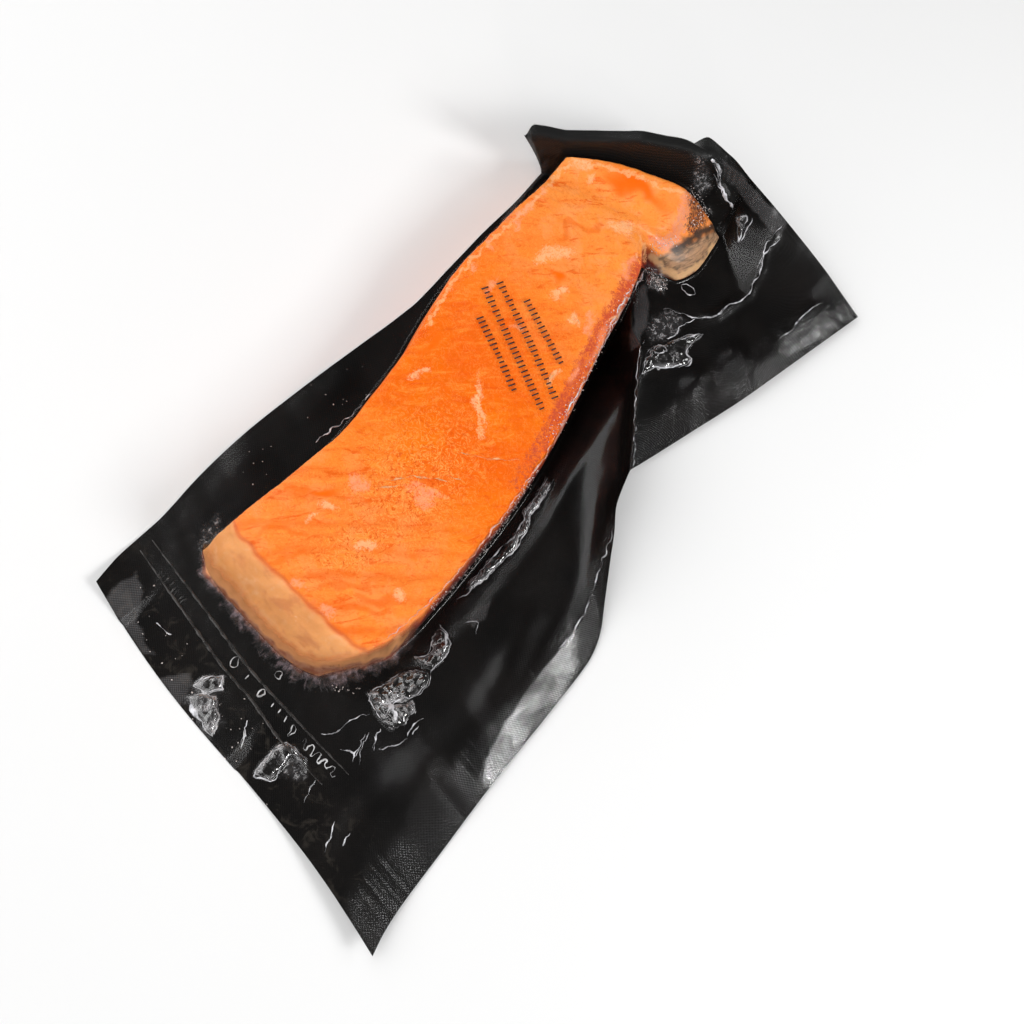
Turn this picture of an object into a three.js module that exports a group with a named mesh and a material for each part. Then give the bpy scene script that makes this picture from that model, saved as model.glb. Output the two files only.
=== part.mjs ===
// A frozen salmon portion in its vacuum pouch: a black backing film, the fish and a clear film
// drawn down over it. The pouch lies on its back with the clear side up.
// Millimetres, +Z up. +Y runs along the pouch, from its cut mouth to its folded far end.

import * as THREE from "three";

// Driving dimensions
const filmThickness = 0.5; // each film
const clearance = 0.3; // between the backing, the fish and the clear film
const fishBase = filmThickness + clearance; // underside of the fish
const fishLength = 200; // along its left side, foot to foot
const skirtHeight = 0.8; // blunt edge of the fish along the backing
const nearHeight = 26.5; // fish above its underside at the mouth end
const middleHeight = 22.5;
const farHeight = 21.5; // raised rim at the far edge
const valleyHeight = 16.5; // hollow just before that rim
const flapHeight = 3.6; // outer edge of the belly flap
const footSpread = 1.6; // from the foot of the fish out to where the films meet
const footLift = 0.5; // clear film above the foot of the fish
const drapeGap = 0.95; // middle of the clear film above the flesh
const farBulge = [5.5, 9.8]; // how far the far edge bows out, towards its left and its right end
const farBulgeKeys = [1.82, 2]; // row keys over which it comes in
const nearBulge = 4.8; // how far the near foot bows out
const nearBulgeKeys = [0.5, 1, 1.13]; // row keys where that starts, is full and has died out
const crownHeight = 0.9; // swell of the flesh across its middle
const crownDrop = 0.4; // of its sides, below the stated heights
const rollHeight = 0.5; // slow waves along and across the flesh
const foldHang = 24; // longest stretch of film that hangs behind the far ridge
const foldArc = 8; // film taken by the turn over that ridge
const foldSpan = 1.85; // column coordinate where the fold runs out
const ridgeDepth = 0.4; // place of the ridge line across that turn, from its front
const wallRise = 1.3; // power that curves the far wall upwards
const wallReach = [1.6, 0.8]; // power that curves it outwards, at the left edge and on the fish
const awayDirection = [-0.64, 0.77, 0]; // from the mouth to behind the far wall
const mouthWave = 2; // how far the cut mouth strays from straight
const mouthWaveEnd = 0.42; // row key where that stray has died out
const mouthLift = 3; // clear film standing off the backing at the open mouth
const mouthGape = [1, 0.6, 0.15]; // share of that lift on the first rows
const tautRows = 5; // rows over which the clear film spans from the fish to the far wall
const tautHeights = [3, 9]; // it starts to span where the fish is this high
const lowFlesh = 1.2; // thin flesh above its skirt, where the clear film stays level
const flakeDepth = 0.7; // grooves between the flakes of the flesh
const flakeSpacing = 9;
const flakeAngle = 50; // degrees from +X
const flapStarts = [0.76, 0.67]; // inner side of the belly flap across the fish, near and far
const flapRows = [0.885, 0.945]; // rows over which the flesh falls away to the flap

// Row keys: 0 is the mouth, 1 and 2 are the near and far foot of the fish
const mouthKeys = [0, 0.18, 0.42, 0.65, 0.84];
const nearFoot = 0.992;
const farFoot = 2.01;
const nearRim = [0, 3.8, 7.6, 11.4];
const nearRimRise = [0, 0.42, 0.83, 1];
const bodyRows = 15;
const bodyEnd = 0.82;
const notchRows = [0.865, 0.885, 0.905, 0.925, 0.945, 0.965, 0.988];
const farRim = [1, 0];
const farRimRise = [0.78, 0];
const wallSteps = [0.2, 0.4, 0.6, 0.8, 1];

// Column insets from the sides of the fish, and the height reached there
const leftRim = [0, 0.8, 1.8];
const leftRimRise = [0, 0.64, 0.98];
const rightRim = [3.8, 2.6, 1.2, 0];
const rightRimRise = [1, 0.86, 0.46, 0];
const bodyColumns = 8;
const leftFractions = [0, 0.34, 0.67];
const creaseFractions = [0, 0.5];
const panelFractions = [0, 0.25, 0.5, 0.75, 1];
const creaseColumn = 2.33; // column coordinate of the crease beside the fish

// Stations along the pouch and the fish: row key, x, y, height of the backing
const pouchLeft = [
  [0, -73.4, 17.2, 3], [0.42, -76, 29, 1], [0.84, -77.2, 46, 0.3], [1.1, -81.2, 71, 0.3],
  [1.25, -83, 99, 0.3], [1.4, -82.6, 134, 0.3], [1.55, -81.9, 163, 0.3], [1.69, -85.2, 191, 0.3],
  [1.78, -87.8, 210, 0.3], [1.9, -89.4, 227, 0.3], [2.01, -92.4, 245.2, 0.3],
];
const fishLeft = [
  [0, -57, 15.8], [1, -59.6, 50], [1.06, -59.2, 61.4], [1.19, -59, 90], [1.28, -59.8, 109],
  [1.335, -62.4, 120.5], [1.47, -69, 149], [1.535, -74, 162], [1.66, -81.2, 188],
  [1.78, -84.1, 211], [2, -88.2, 246], [2.01, -89.2, 247.8],
];
const fishRight = [
  [0, 3, 10.8], [1, -1.5, 51.5], [1.06, 6.4, 67], [1.12, 9.2, 79], [1.2, 8, 94], [1.42, 1, 138],
  [1.57, -6.5, 167], [1.68, -14.6, 189], [1.79, -23.2, 211], [1.865, -29.4, 229],
  [1.885, -33.5, 238.5], [1.905, -39.5, 248.5], [1.925, -32.3, 254.2], [1.945, -25.5, 259],
  [1.965, -23.6, 268], [1.988, -25.8, 279], [2, -27.8, 286], [2.01, -28.6, 287.8],
];
const crease = [
  [0, 24, 9, 1], [0.84, 21, 42, 0.3], [1.08, 22.5, 66, 1.5], [1.2, 23, 91, 3], [1.42, 18, 136, 3],
  [1.57, 7.5, 166, 4], [1.68, 1, 186, 7], [1.79, -5, 204, 12], [1.865, -13, 216, 19],
  [1.885, -12, 222, 4], [1.905, -9, 229, 3], [1.945, -5, 247, 2.5], [2.01, -3.5, 273, 2.5],
];
const pouchRight = [
  [0, 78, 4.5, 6], [0.18, 75.6, 12, 4], [0.42, 73.6, 22, 2], [0.84, 71, 40, 0.6],
  [1.1, 66.3, 69, 1], [1.3, 61.6, 107, 1.2], [1.42, 58.4, 128, 1], [1.5, 54, 137, 2],
  [1.57, 47.8, 144, 5], [1.68, 39, 153, 12], [1.79, 28, 165.5, 18.5], [1.865, 16.5, 179.1, 25],
  [1.885, 17, 184.8, 3.5], [1.905, 18.8, 195, 3], [1.945, 23, 221, 3], [1.988, 26.2, 241, 3],
  [2.01, 27.2, 249, 3],
];

// Top line of the far margin: column coordinate, x, y, height
const farRidge = [
  [0, -102.3, 236, 24.5], [0.5, -100.8, 239.3, 28.6], [1, -93, 247.6, 27.8], [1.2, -81.4, 260.9, 30.3],
  [1.4, -71.2, 270.2, 34.5], [1.6, -60.5, 280, 34.3], [1.8, -47.6, 293, 31], [2, -34, 299, 24],
  [2.33, -8, 305.8, 14], [2.67, 14, 309.2, 7.3], [3, 33.7, 309.8, 3],
];

// Height of the flesh along the fish: fraction of its length, height
const fishHeights = [
  [0, nearHeight], [0.12, nearHeight], [0.3, 24.2], [0.5, middleHeight], [0.7, 21.5], [0.87, 20.2],
  [0.945, valleyHeight], [0.97, 18.5], [1, farHeight],
];

// Soft swells of the film: x, y, height, radius
const swells = [
  [8, 232, 3.5, 9], [18, 254, 4.5, 10], [10, 280, 4, 12], [-8, 250, 3.5, 8], [24, 292, 2.5, 8],
  [47, 60, 2.2, 16], [40, 100, 2.5, 15], [-72, 80, 1.4, 8], [-76, 120, 1.6, 8], [-30, 26, 1.2, 14],
  [50, 25, 2, 14],
];

const lerp = THREE.MathUtils.lerp;
const smoothstep = THREE.MathUtils.smoothstep;

// Shape-preserving cubic through the stations, which never overshoots them
function track(stations) {
  const keys = stations.map((station) => station[0]);
  const width = stations[0].length - 1;
  const slopes = [];
  for (let i = 0; i + 1 < keys.length; i += 1) {
    const step = keys[i + 1] - keys[i];
    const ends = [stations[i].slice(1), stations[i + 1].slice(1)];
    slopes.push(Array.from({ length: width }, (_, c) => (ends[1][c] - ends[0][c]) / step));
  }
  const tangent = (i, c) => {
    if (i === 0) return slopes[0][c];
    if (i === keys.length - 1) return slopes[i - 1][c];
    const before = slopes[i - 1][c];
    const after = slopes[i][c];
    return before * after <= 0 ? 0 : (2 * before * after) / (before + after);
  };
  return (key) => {
    let i = 0;
    while (i < keys.length - 2 && key > keys[i + 1]) i += 1;
    const step = keys[i + 1] - keys[i];
    const t = THREE.MathUtils.clamp((key - keys[i]) / step, 0, 1);
    const blend = t * t * (3 - 2 * t);
    return Array.from({ length: width }, (_, c) => {
      const start = stations[i][c + 1];
      const end = stations[i + 1][c + 1];
      const leave = t * (1 - t) * (1 - t) * step * tangent(i, c);
      const arrive = t * t * (t - 1) * step * tangent(i + 1, c);
      return start * (1 - blend) + end * blend + leave + arrive;
    });
  };
}

const leftEdge = track(pouchLeft);
const leftFoot = track(fishLeft);
const rightFoot = track(fishRight);
const creaseLine = track(crease);
const rightEdge = track(pouchRight);
const ridgeLine = track(farRidge);
const heightAlong = track(fishHeights);

// Plan point of a track, with its height where it has one
function stationPoint(line, key) {
  const [x, y, z = filmThickness / 2] = line(key);
  return new THREE.Vector3(x, y, z);
}

// Point beside the fish where the two films meet, square to its foot
function spreadFoot(line, key, side) {
  const step = 0.004;
  const ahead = stationPoint(line, key + step);
  const behind = stationPoint(line, key - step);
  const along = ahead.sub(behind).normalize();
  const outward = new THREE.Vector3(along.y, -along.x, 0).multiplyScalar(side * footSpread);
  return stationPoint(line, key).add(outward);
}

// Rows of the grid, from the mouth to the fold behind the far ridge
function fishRowFractions() {
  const near = nearRim.map((inset) => inset / fishLength);
  const start = near[near.length - 1];
  const body = Array.from({ length: bodyRows }, (_, i) => lerp(start, bodyEnd, (i + 1) / bodyRows));
  const far = farRim.map((inset) => 1 - inset / fishLength);
  return [...near, ...body, ...notchRows, ...far];
}

const fishRows = fishRowFractions();

function rowRise(row) {
  if (row < nearRimRise.length) return nearRimRise[row];
  const fromFar = fishRows.length - 1 - row;
  return fromFar < farRimRise.length ? farRimRise[farRimRise.length - 1 - fromFar] : 1;
}

// Columns across the fish as fractions of its width there
function fishColumnFractions(width) {
  const left = leftRim.map((inset) => inset / width);
  const right = rightRim.map((inset) => 1 - inset / width);
  const inner = Array.from({ length: bodyColumns - 1 }, (_, i) => {
    return lerp(left[left.length - 1], right[0], (i + 1) / bodyColumns);
  });
  return [...left, ...inner, ...right];
}

const fishColumns = leftRim.length + bodyColumns - 1 + rightRim.length;

function columnRise(column) {
  if (column < leftRimRise.length) return leftRimRise[column];
  const fromRight = fishColumns - 1 - column;
  return fromRight < rightRimRise.length ? rightRimRise[rightRimRise.length - 1 - fromRight] : 1;
}

// Plan points across the fish at one row key
function fishRowPlan(key) {
  const left = stationPoint(leftFoot, key);
  const right = stationPoint(rightFoot, key);
  const [start, foot, end] = nearBulgeKeys;
  const farShare = smoothstep(key, ...farBulgeKeys);
  const nearShare = smoothstep(key, start, foot) * (1 - smoothstep(key, foot, end));
  const across = right.clone().sub(left);
  const outward = new THREE.Vector3(-across.y, across.x, 0).normalize();
  return fishColumnFractions(across.length()).map((s) => {
    const bow = lerp(...farBulge, s) * farShare - nearBulge * nearShare;
    return left.clone().lerp(right, s).addScaledVector(outward, bow * (1 - (2 * s - 1) ** 4));
  });
}

// Height of the flesh above the underside, before the rims round it off
function fleshHeight(s, t) {
  const crown = crownHeight * Math.sin(Math.PI * s) - crownDrop;
  const roll = rollHeight * Math.sin(9 * t + 4 * s);
  const body = heightAlong(t)[0] + crown + roll;
  const flapStart = lerp(...flapStarts, smoothstep(t, flapRows[0], 1));
  const slide = Math.max(0, (s - flapStart) / (1 - flapStart));
  const flap = lerp(body, flapHeight, Math.min(1, slide));
  return lerp(body, flap, smoothstep(t, ...flapRows));
}

// Upper surface of the fish on its own grid
function fleshGrid() {
  return fishRows.map((t, row) => {
    const plan = fishRowPlan(1 + t);
    const width = plan[0].distanceTo(plan[plan.length - 1]);
    const fractions = fishColumnFractions(width);
    return plan.map((point, column) => {
      const rise = rowRise(row) * columnRise(column);
      const height = skirtHeight + (fleshHeight(fractions[column], t) - skirtHeight) * rise;
      return new THREE.Vector3(point.x, point.y, fishBase + height);
    });
  });
}

// Low swells of the flat parts of the film, none beside or under the fish
function swellHeight(point) {
  return swells.reduce((sum, [x, y, height, radius]) => {
    const away = Math.hypot(point.x - x, point.y - y) / radius;
    return sum + height * Math.exp(-away * away);
  }, 0);
}

// Backing film on one row between the mouth and the far foot
function backingRow(key) {
  const left = stationPoint(leftEdge, key);
  const meetLeft = spreadFoot(leftFoot, key, -1);
  const meetRight = spreadFoot(rightFoot, key, 1);
  const fold = stationPoint(creaseLine, key);
  const right = stationPoint(rightEdge, key);
  const fish = fishRowPlan(key);
  const lifted = (point, share) => {
    point.z += swellHeight(point) * share;
    return point;
  };
  const row = [
    ...leftFractions.map((f) => lifted(left.clone().lerp(meetLeft, f), 1 - f)),
    meetLeft,
    ...fish,
    ...creaseFractions.map((f) => meetRight.clone().lerp(fold, f)),
    ...panelFractions.map((f) => lifted(fold.clone().lerp(right, f), Math.min(1, 2 * f))),
  ];
  const stray = mouthWave * Math.max(0, 1 - key / mouthWaveEnd);
  row.forEach((point) => {
    const across = (point.x - left.x) / (right.x - left.x);
    point.y -= stray * Math.sin(2 * Math.PI * across);
  });
  return row;
}

// Column coordinate of every column: 0 and 3 are the pouch's edges, 1 and 2 the sides of the fish
function columnCoordinates() {
  const far = fishRowPlan(2);
  const across = fishColumnFractions(far[0].distanceTo(far[far.length - 1]));
  return [
    ...leftFractions,
    1,
    ...across.map((s) => lerp(1.02, 1.98, s)),
    ...creaseFractions.map((f) => lerp(2, creaseColumn, f)),
    ...panelFractions.map((f) => lerp(creaseColumn, 3, f)),
  ];
}

// Share of the turn over the far ridge, none where the margin runs out flat
function foldShare(column) {
  return column >= foldSpan ? 0 : Math.sin((Math.PI * column) / foldSpan);
}

// Turn of the film over the far ridge, as steps away from the top of the wall
function foldSteps(up, back, share) {
  const turn = Math.min(1, 2.5 * share);
  const arc = lerp(2, foldArc, turn) / 3;
  const hang = 1 + foldHang * share;
  const tip = new THREE.Vector3();
  return [[arc, 1 / 6], [arc, 1 / 2], [arc, 5 / 6], [hang, 0.97]].map(([length, part]) => {
    const angle = Math.PI * turn * part;
    tip.addScaledVector(up, length * Math.cos(angle)).addScaledVector(back, length * Math.sin(angle));
    return tip.clone();
  });
}

// Backing film of one column from the far foot up the wall and over its ridge
function farColumn(base, column) {
  const ridge = stationPoint(ridgeLine, column);
  const outPower = lerp(...wallReach, Math.min(1, column));
  const rise = ridge.clone().sub(base);
  const up = new THREE.Vector3(rise.x * outPower, rise.y * outPower, rise.z * wallRise).normalize();
  const away = new THREE.Vector3(...awayDirection);
  const back = away.addScaledVector(up, -away.dot(up)).normalize();
  const steps = foldSteps(up, back, foldShare(column));
  const height = Math.max(...steps.map((step) => step.dot(up)));
  const depth = Math.max(...steps.map((step) => step.dot(back)));
  const top = ridge.clone().addScaledVector(up, -height).addScaledVector(back, -ridgeDepth * depth);
  const reach = top.clone().sub(base);
  const wall = wallSteps.map((step) => {
    const out = step ** outPower;
    const high = step ** wallRise;
    return new THREE.Vector3(reach.x * out, reach.y * out, reach.z * high).add(base);
  });
  return [...wall, ...steps.map((step) => step.add(top))];
}

// Middle surface of the backing film, one row after another
function backingGrid() {
  const keys = [...mouthKeys, nearFoot, ...fishRows.map((t) => 1 + t), farFoot];
  const rows = keys.map(backingRow);
  const coordinates = columnCoordinates();
  const base = rows[rows.length - 1];
  const columns = base.map((point, i) => farColumn(point, coordinates[i]));
  columns[0].forEach((_, step) => rows.push(columns.map((column) => column[step])));
  return rows;
}

// Unit normals of a grid, lengthened at bends so that an offset keeps its distance
function gridOffsets(grid) {
  const faceNormals = grid.slice(0, -1).map((row, j) => row.slice(0, -1).map((point, i) => {
    const diagonal = grid[j + 1][i + 1].clone().sub(point);
    const cross = grid[j + 1][i].clone().sub(grid[j][i + 1]);
    return diagonal.cross(cross).normalize();
  }));
  return grid.map((row, j) => row.map((_, i) => {
    const around = [[j - 1, i - 1], [j - 1, i], [j, i - 1], [j, i]]
      .map(([a, b]) => faceNormals[a]?.[b])
      .filter((normal) => normal !== undefined);
    const mean = around.reduce((sum, normal) => sum.add(normal), new THREE.Vector3()).normalize();
    const least = Math.min(...around.map((normal) => normal.dot(mean)));
    return mean.divideScalar(Math.max(0.6, least));
  }));
}

function offsetGrid(grid, offsets, distance) {
  return grid.map((row, j) => row.map((point, i) => {
    return point.clone().addScaledVector(offsets[j][i], distance);
  }));
}

// Middle surface of the clear film: on the backing round the fish, and over the flesh on the fish
function clearGrid(backing, flesh) {
  const spacing = filmThickness + clearance;
  const grid = offsetGrid(backing, gridOffsets(backing), spacing);
  const drape = offsetGrid(flesh, gridOffsets(flesh), drapeGap);
  const firstRow = mouthKeys.length + 1;
  const firstColumn = leftFractions.length + 1;
  const lastRow = flesh.length - 1;
  drape.forEach((row, j) => row.forEach((point, i) => {
    const low = point.z < fishBase + skirtHeight + lowFlesh;
    point.z = low ? fishBase + skirtHeight + footLift : point.z;
    grid[firstRow + j][firstColumn + i] = point;
  }));
  openMouth(grid);
  bridgeToWall(grid, firstRow + lastRow, firstColumn, flesh[0].length);
  return grid;
}

// The cut mouth gapes a little in two places
function openMouth(grid) {
  mouthGape.forEach((share, row) => {
    const last = grid[row].length - 1;
    grid[row].forEach((point, i) => {
      const wave = Math.sin((2 * Math.PI * i) / last) ** 2;
      point.z += mouthLift * share * wave;
    });
  });
}

// From the far top edge of the fish the clear film runs straight across to the wall
function bridgeToWall(grid, footRow, firstColumn, count) {
  const touchRow = footRow + tautRows;
  for (let column = firstColumn; column < firstColumn + count; column += 1) {
    const start = grid[footRow - 1][column];
    const end = grid[touchRow][column];
    const taut = smoothstep(start.z, ...tautHeights);
    for (let row = footRow; row < touchRow; row += 1) {
      const share = (row - footRow + 1) / (touchRow - footRow + 1);
      grid[row][column].lerp(start.clone().lerp(end, share), taut);
    }
  }
}

// Closed body between two grids of the same layout
function closedBody(upper, lower) {
  const rows = upper.length;
  const columns = upper[0].length;
  const size = rows * columns;
  const positions = [...upper.flat(), ...lower.flat()].flatMap((point) => [point.x, point.y, point.z]);
  const at = (j, i) => j * columns + i;
  const indices = [];
  const quad = (a, b, c, d) => indices.push(a, b, c, a, c, d);
  for (let j = 0; j + 1 < rows; j += 1) {
    for (let i = 0; i + 1 < columns; i += 1) {
      quad(at(j, i), at(j, i + 1), at(j + 1, i + 1), at(j + 1, i));
      indices.push(size + at(j, i), size + at(j + 1, i + 1), size + at(j, i + 1));
      indices.push(size + at(j, i), size + at(j + 1, i), size + at(j + 1, i + 1));
    }
  }
  const rim = rimLoop(rows, columns, at);
  rim.forEach((a, k) => {
    const b = rim[(k + 1) % rim.length];
    quad(size + a, size + b, b, a);
  });
  return bodyGeometry(positions, indices);
}

// Vertices round a grid, anticlockwise from above
function rimLoop(rows, columns, at) {
  const loop = [];
  for (let i = 0; i < columns - 1; i += 1) loop.push(at(0, i));
  for (let j = 0; j < rows - 1; j += 1) loop.push(at(j, columns - 1));
  for (let i = columns - 1; i > 0; i -= 1) loop.push(at(rows - 1, i));
  for (let j = rows - 1; j > 0; j -= 1) loop.push(at(j, 0));
  return loop;
}

function bodyGeometry(positions, indices) {
  const geometry = new THREE.BufferGeometry();
  geometry.setAttribute("position", new THREE.Float32BufferAttribute(positions, 3));
  geometry.setIndex(indices);
  geometry.computeVertexNormals();
  return geometry;
}

// Halve every cell of a grid both ways
function refineGrid(grid) {
  const between = (a, b) => a.clone().lerp(b, 0.5);
  const wide = grid.map((row) => row.flatMap((point, i) => {
    return i + 1 < row.length ? [point.clone(), between(point, row[i + 1])] : [point.clone()];
  }));
  return wide.flatMap((row, j) => {
    return j + 1 < wide.length ? [row, row.map((point, i) => between(point, wide[j + 1][i]))] : [row];
  });
}

// Grooves between the flakes, slanting across the portion and only ever cut inwards
function grooveDepth(point, across, along) {
  const angle = THREE.MathUtils.degToRad(flakeAngle);
  const reach = -point.x * Math.sin(angle) + point.y * Math.cos(angle);
  const bend = 3 * Math.sin(point.y / 17) + 2 * Math.sin(point.x / 9);
  const wave = 0.5 + 0.5 * Math.cos((2 * Math.PI * (reach + bend)) / flakeSpacing);
  const inside = smoothstep(across, 0.04, 0.14) * smoothstep(1 - across, 0.14, 0.24);
  const ends = smoothstep(along, 0.06, 0.12) * smoothstep(1 - along, 0.14, 0.2);
  return flakeDepth * wave ** 3 * inside * ends;
}

function grooveFlesh(grid) {
  const lastRow = grid.length - 1;
  const lastColumn = grid[0].length - 1;
  return grid.map((row, j) => row.map((point, i) => {
    const depth = grooveDepth(point, i / lastColumn, j / lastRow);
    return new THREE.Vector3(point.x, point.y, point.z - depth);
  }));
}

// The fish: grooved top, blunt skirt and one flat underside
function fishBody(flesh) {
  const upper = grooveFlesh(refineGrid(flesh));
  const rows = upper.length;
  const columns = upper[0].length;
  const at = (j, i) => j * columns + i;
  const top = upper.flat();
  const rim = rimLoop(rows, columns, at);
  const indices = [];
  for (let j = 0; j + 1 < rows; j += 1) {
    for (let i = 0; i + 1 < columns; i += 1) {
      indices.push(at(j, i), at(j, i + 1), at(j + 1, i + 1), at(j, i), at(j + 1, i + 1), at(j + 1, i));
    }
  }
  const underside = rim.map((index) => new THREE.Vector3(top[index].x, top[index].y, fishBase));
  rim.forEach((a, k) => {
    const next = (k + 1) % rim.length;
    indices.push(top.length + k, top.length + next, rim[next], top.length + k, rim[next], a);
  });
  const contour = underside.map((point) => new THREE.Vector2(point.x, point.y));
  THREE.ShapeUtils.triangulateShape(contour, []).forEach(([a, b, c]) => {
    indices.push(top.length + a, top.length + c, top.length + b);
  });
  const positions = [...top, ...underside].flatMap((point) => [point.x, point.y, point.z]);
  return bodyGeometry(positions, indices);
}

// A film about its middle surface, never below the table
function sheetBody(grid) {
  const offsets = gridOffsets(grid);
  const half = filmThickness / 2;
  const lower = offsetGrid(grid, offsets, -half);
  lower.flat().forEach((point) => point.setZ(Math.max(0, point.z)));
  return closedBody(offsetGrid(grid, offsets, half), lower);
}

function namedMesh(name, geometry, material) {
  const mesh = new THREE.Mesh(geometry, new THREE.MeshStandardMaterial(material));
  mesh.name = name;
  return mesh;
}

const backing = backingGrid();
const flesh = fleshGrid();
const clear = clearGrid(backing, flesh);

const group = new THREE.Group();
group.add(
  namedMesh("backing_film", sheetBody(backing), { color: 0x1a1817, roughness: 0.28, metalness: 0 }),
  namedMesh("salmon_portion", fishBody(flesh), { color: 0xf07a2c, roughness: 0.5, metalness: 0 }),
  namedMesh("clear_film", sheetBody(clear), {
    color: 0xf2f2f4,
    roughness: 0.12,
    metalness: 0,
    transparent: true,
    opacity: 0.18,
  }),
);

// The origin is the middle of the footprint, at table level
const extent = new THREE.Box3().setFromObject(group);
const middle = extent.getCenter(new THREE.Vector3());
group.position.set(-middle.x, -middle.y, -extent.min.z);

export default group;
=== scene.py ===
import math

import bpy
import numpy as np
from mathutils import Matrix, Vector
from mathutils.bvhtree import BVHTree


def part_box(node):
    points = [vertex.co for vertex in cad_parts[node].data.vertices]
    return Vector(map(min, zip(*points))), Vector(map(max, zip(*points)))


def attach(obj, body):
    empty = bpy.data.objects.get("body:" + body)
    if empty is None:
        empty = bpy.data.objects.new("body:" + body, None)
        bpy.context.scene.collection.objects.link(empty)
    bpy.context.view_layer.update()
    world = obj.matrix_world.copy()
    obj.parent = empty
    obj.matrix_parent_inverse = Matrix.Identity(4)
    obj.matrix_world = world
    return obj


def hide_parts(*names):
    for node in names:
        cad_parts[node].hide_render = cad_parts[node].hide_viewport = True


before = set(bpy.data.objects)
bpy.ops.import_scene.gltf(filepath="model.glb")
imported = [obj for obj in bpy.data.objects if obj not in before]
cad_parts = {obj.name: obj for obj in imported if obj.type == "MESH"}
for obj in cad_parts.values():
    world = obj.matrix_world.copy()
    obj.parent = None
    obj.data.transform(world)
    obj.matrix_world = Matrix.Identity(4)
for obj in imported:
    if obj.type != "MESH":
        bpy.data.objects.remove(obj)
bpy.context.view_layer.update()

MM = 0.001

# Photograph: the camera stands over x = 0, y = 0 of the stations below
PHOTO_SIDE = 1024
FOCAL_PX = 1200.0
SENSOR_MM = 36.0
CAMERA_HEIGHT = 415.0
CAMERA_DOWN = math.radians(71.0)
CAMERA_ROLL = math.radians(48.6)

# Driving dimensions of the solids, in millimetres
FILM = 0.5
CLEARANCE = 0.3
FISH_BASE = FILM + CLEARANCE
FISH_LENGTH = 200.0
SKIRT_HEIGHT = 0.8
FLAP_HEIGHT = 3.6
FOOT_SPREAD = 1.6
FOOT_LIFT = 0.5
DRAPE_GAP = 0.95
FAR_BULGE = (5.5, 9.8)
FAR_BULGE_KEYS = (1.82, 2)
NEAR_BULGE = 4.8
NEAR_BULGE_KEYS = (0.5, 1, 1.13)
CROWN_HEIGHT = 0.9
CROWN_DROP = 0.4
ROLL_HEIGHT = 0.5
ROLL_TURNS = (9, 4)
FOLD_HANG = 24.0
FOLD_ARCS = (2.0, 8.0)
FOLD_TURN_RATE = 2.5
FOLD_SPAN = 1.85
RIDGE_DEPTH = 0.4
WALL_RISE = 1.3
WALL_REACH = (1.6, 0.8)
AWAY = np.array([-0.64, 0.77, 0.0])
MOUTH_WAVE = 2.0
MOUTH_WAVE_END = 0.42
MOUTH_LIFT = 3.0
MOUTH_GAPE = (1.0, 0.6, 0.15)
TAUT_ROWS = 5
TAUT_HEIGHTS = (3.0, 9.0)
LOW_FLESH = 1.2
FLAKE_ANGLE = math.radians(50.0)
FLAKE_SPACING = 9.0
FLAP_STARTS = (0.76, 0.67)
FLAP_ROWS = (0.885, 0.945)

# Rows and columns: row key 0 is the mouth, 1 and 2 are the near and far foot of the fish
MOUTH_KEYS = [0, 0.18, 0.42, 0.65, 0.84]
KEY_STEP = 0.004
NEAR_FOOT = 0.992
FAR_FOOT = 2.01
NEAR_RIM = [0, 3.8, 7.6, 11.4]
NEAR_RIM_RISE = [0, 0.42, 0.83, 1]
BODY_ROWS = 15
BODY_END = 0.82
NOTCH_ROWS = [0.865, 0.885, 0.905, 0.925, 0.945, 0.965, 0.988]
FAR_RIM = [1, 0]
FAR_RIM_RISE = [0.78, 0]
WALL_STEPS = [0.2, 0.4, 0.6, 0.8, 1]
LEFT_RIM = [0, 0.8, 1.8]
LEFT_RIM_RISE = [0, 0.64, 0.98]
RIGHT_RIM = [3.8, 2.6, 1.2, 0]
RIGHT_RIM_RISE = [1, 0.86, 0.46, 0]
BODY_COLUMNS = 8
LEFT_FRACTIONS = np.array([0, 0.34, 0.67])
CREASE_FRACTIONS = np.array([0, 0.5])
PANEL_FRACTIONS = np.array([0, 0.25, 0.5, 0.75, 1])
FISH_COLUMNS = (1.02, 1.98)
CREASE_COLUMN = 2.33
FIRST_ROW = len(MOUTH_KEYS) + 1
FIRST_COLUMN = len(LEFT_FRACTIONS) + 1

# Stations along the pouch and the fish: row key, x, y, height of the backing
POUCH_LEFT = [
    [0, -73.4, 17.2, 3], [0.42, -76, 29, 1], [0.84, -77.2, 46, 0.3], [1.1, -81.2, 71, 0.3],
    [1.25, -83, 99, 0.3], [1.4, -82.6, 134, 0.3], [1.55, -81.9, 163, 0.3], [1.69, -85.2, 191, 0.3],
    [1.78, -87.8, 210, 0.3], [1.9, -89.4, 227, 0.3], [2.01, -92.4, 245.2, 0.3],
]
FISH_LEFT = [
    [0, -57, 15.8], [1, -59.6, 50], [1.06, -59.2, 61.4], [1.19, -59, 90], [1.28, -59.8, 109],
    [1.335, -62.4, 120.5], [1.47, -69, 149], [1.535, -74, 162], [1.66, -81.2, 188],
    [1.78, -84.1, 211], [2, -88.2, 246], [2.01, -89.2, 247.8],
]
FISH_RIGHT = [
    [0, 3, 10.8], [1, -1.5, 51.5], [1.06, 6.4, 67], [1.12, 9.2, 79], [1.2, 8, 94], [1.42, 1, 138],
    [1.57, -6.5, 167], [1.68, -14.6, 189], [1.79, -23.2, 211], [1.865, -29.4, 229],
    [1.885, -33.5, 238.5], [1.905, -39.5, 248.5], [1.925, -32.3, 254.2], [1.945, -25.5, 259],
    [1.965, -23.6, 268], [1.988, -25.8, 279], [2, -27.8, 286], [2.01, -28.6, 287.8],
]
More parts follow.
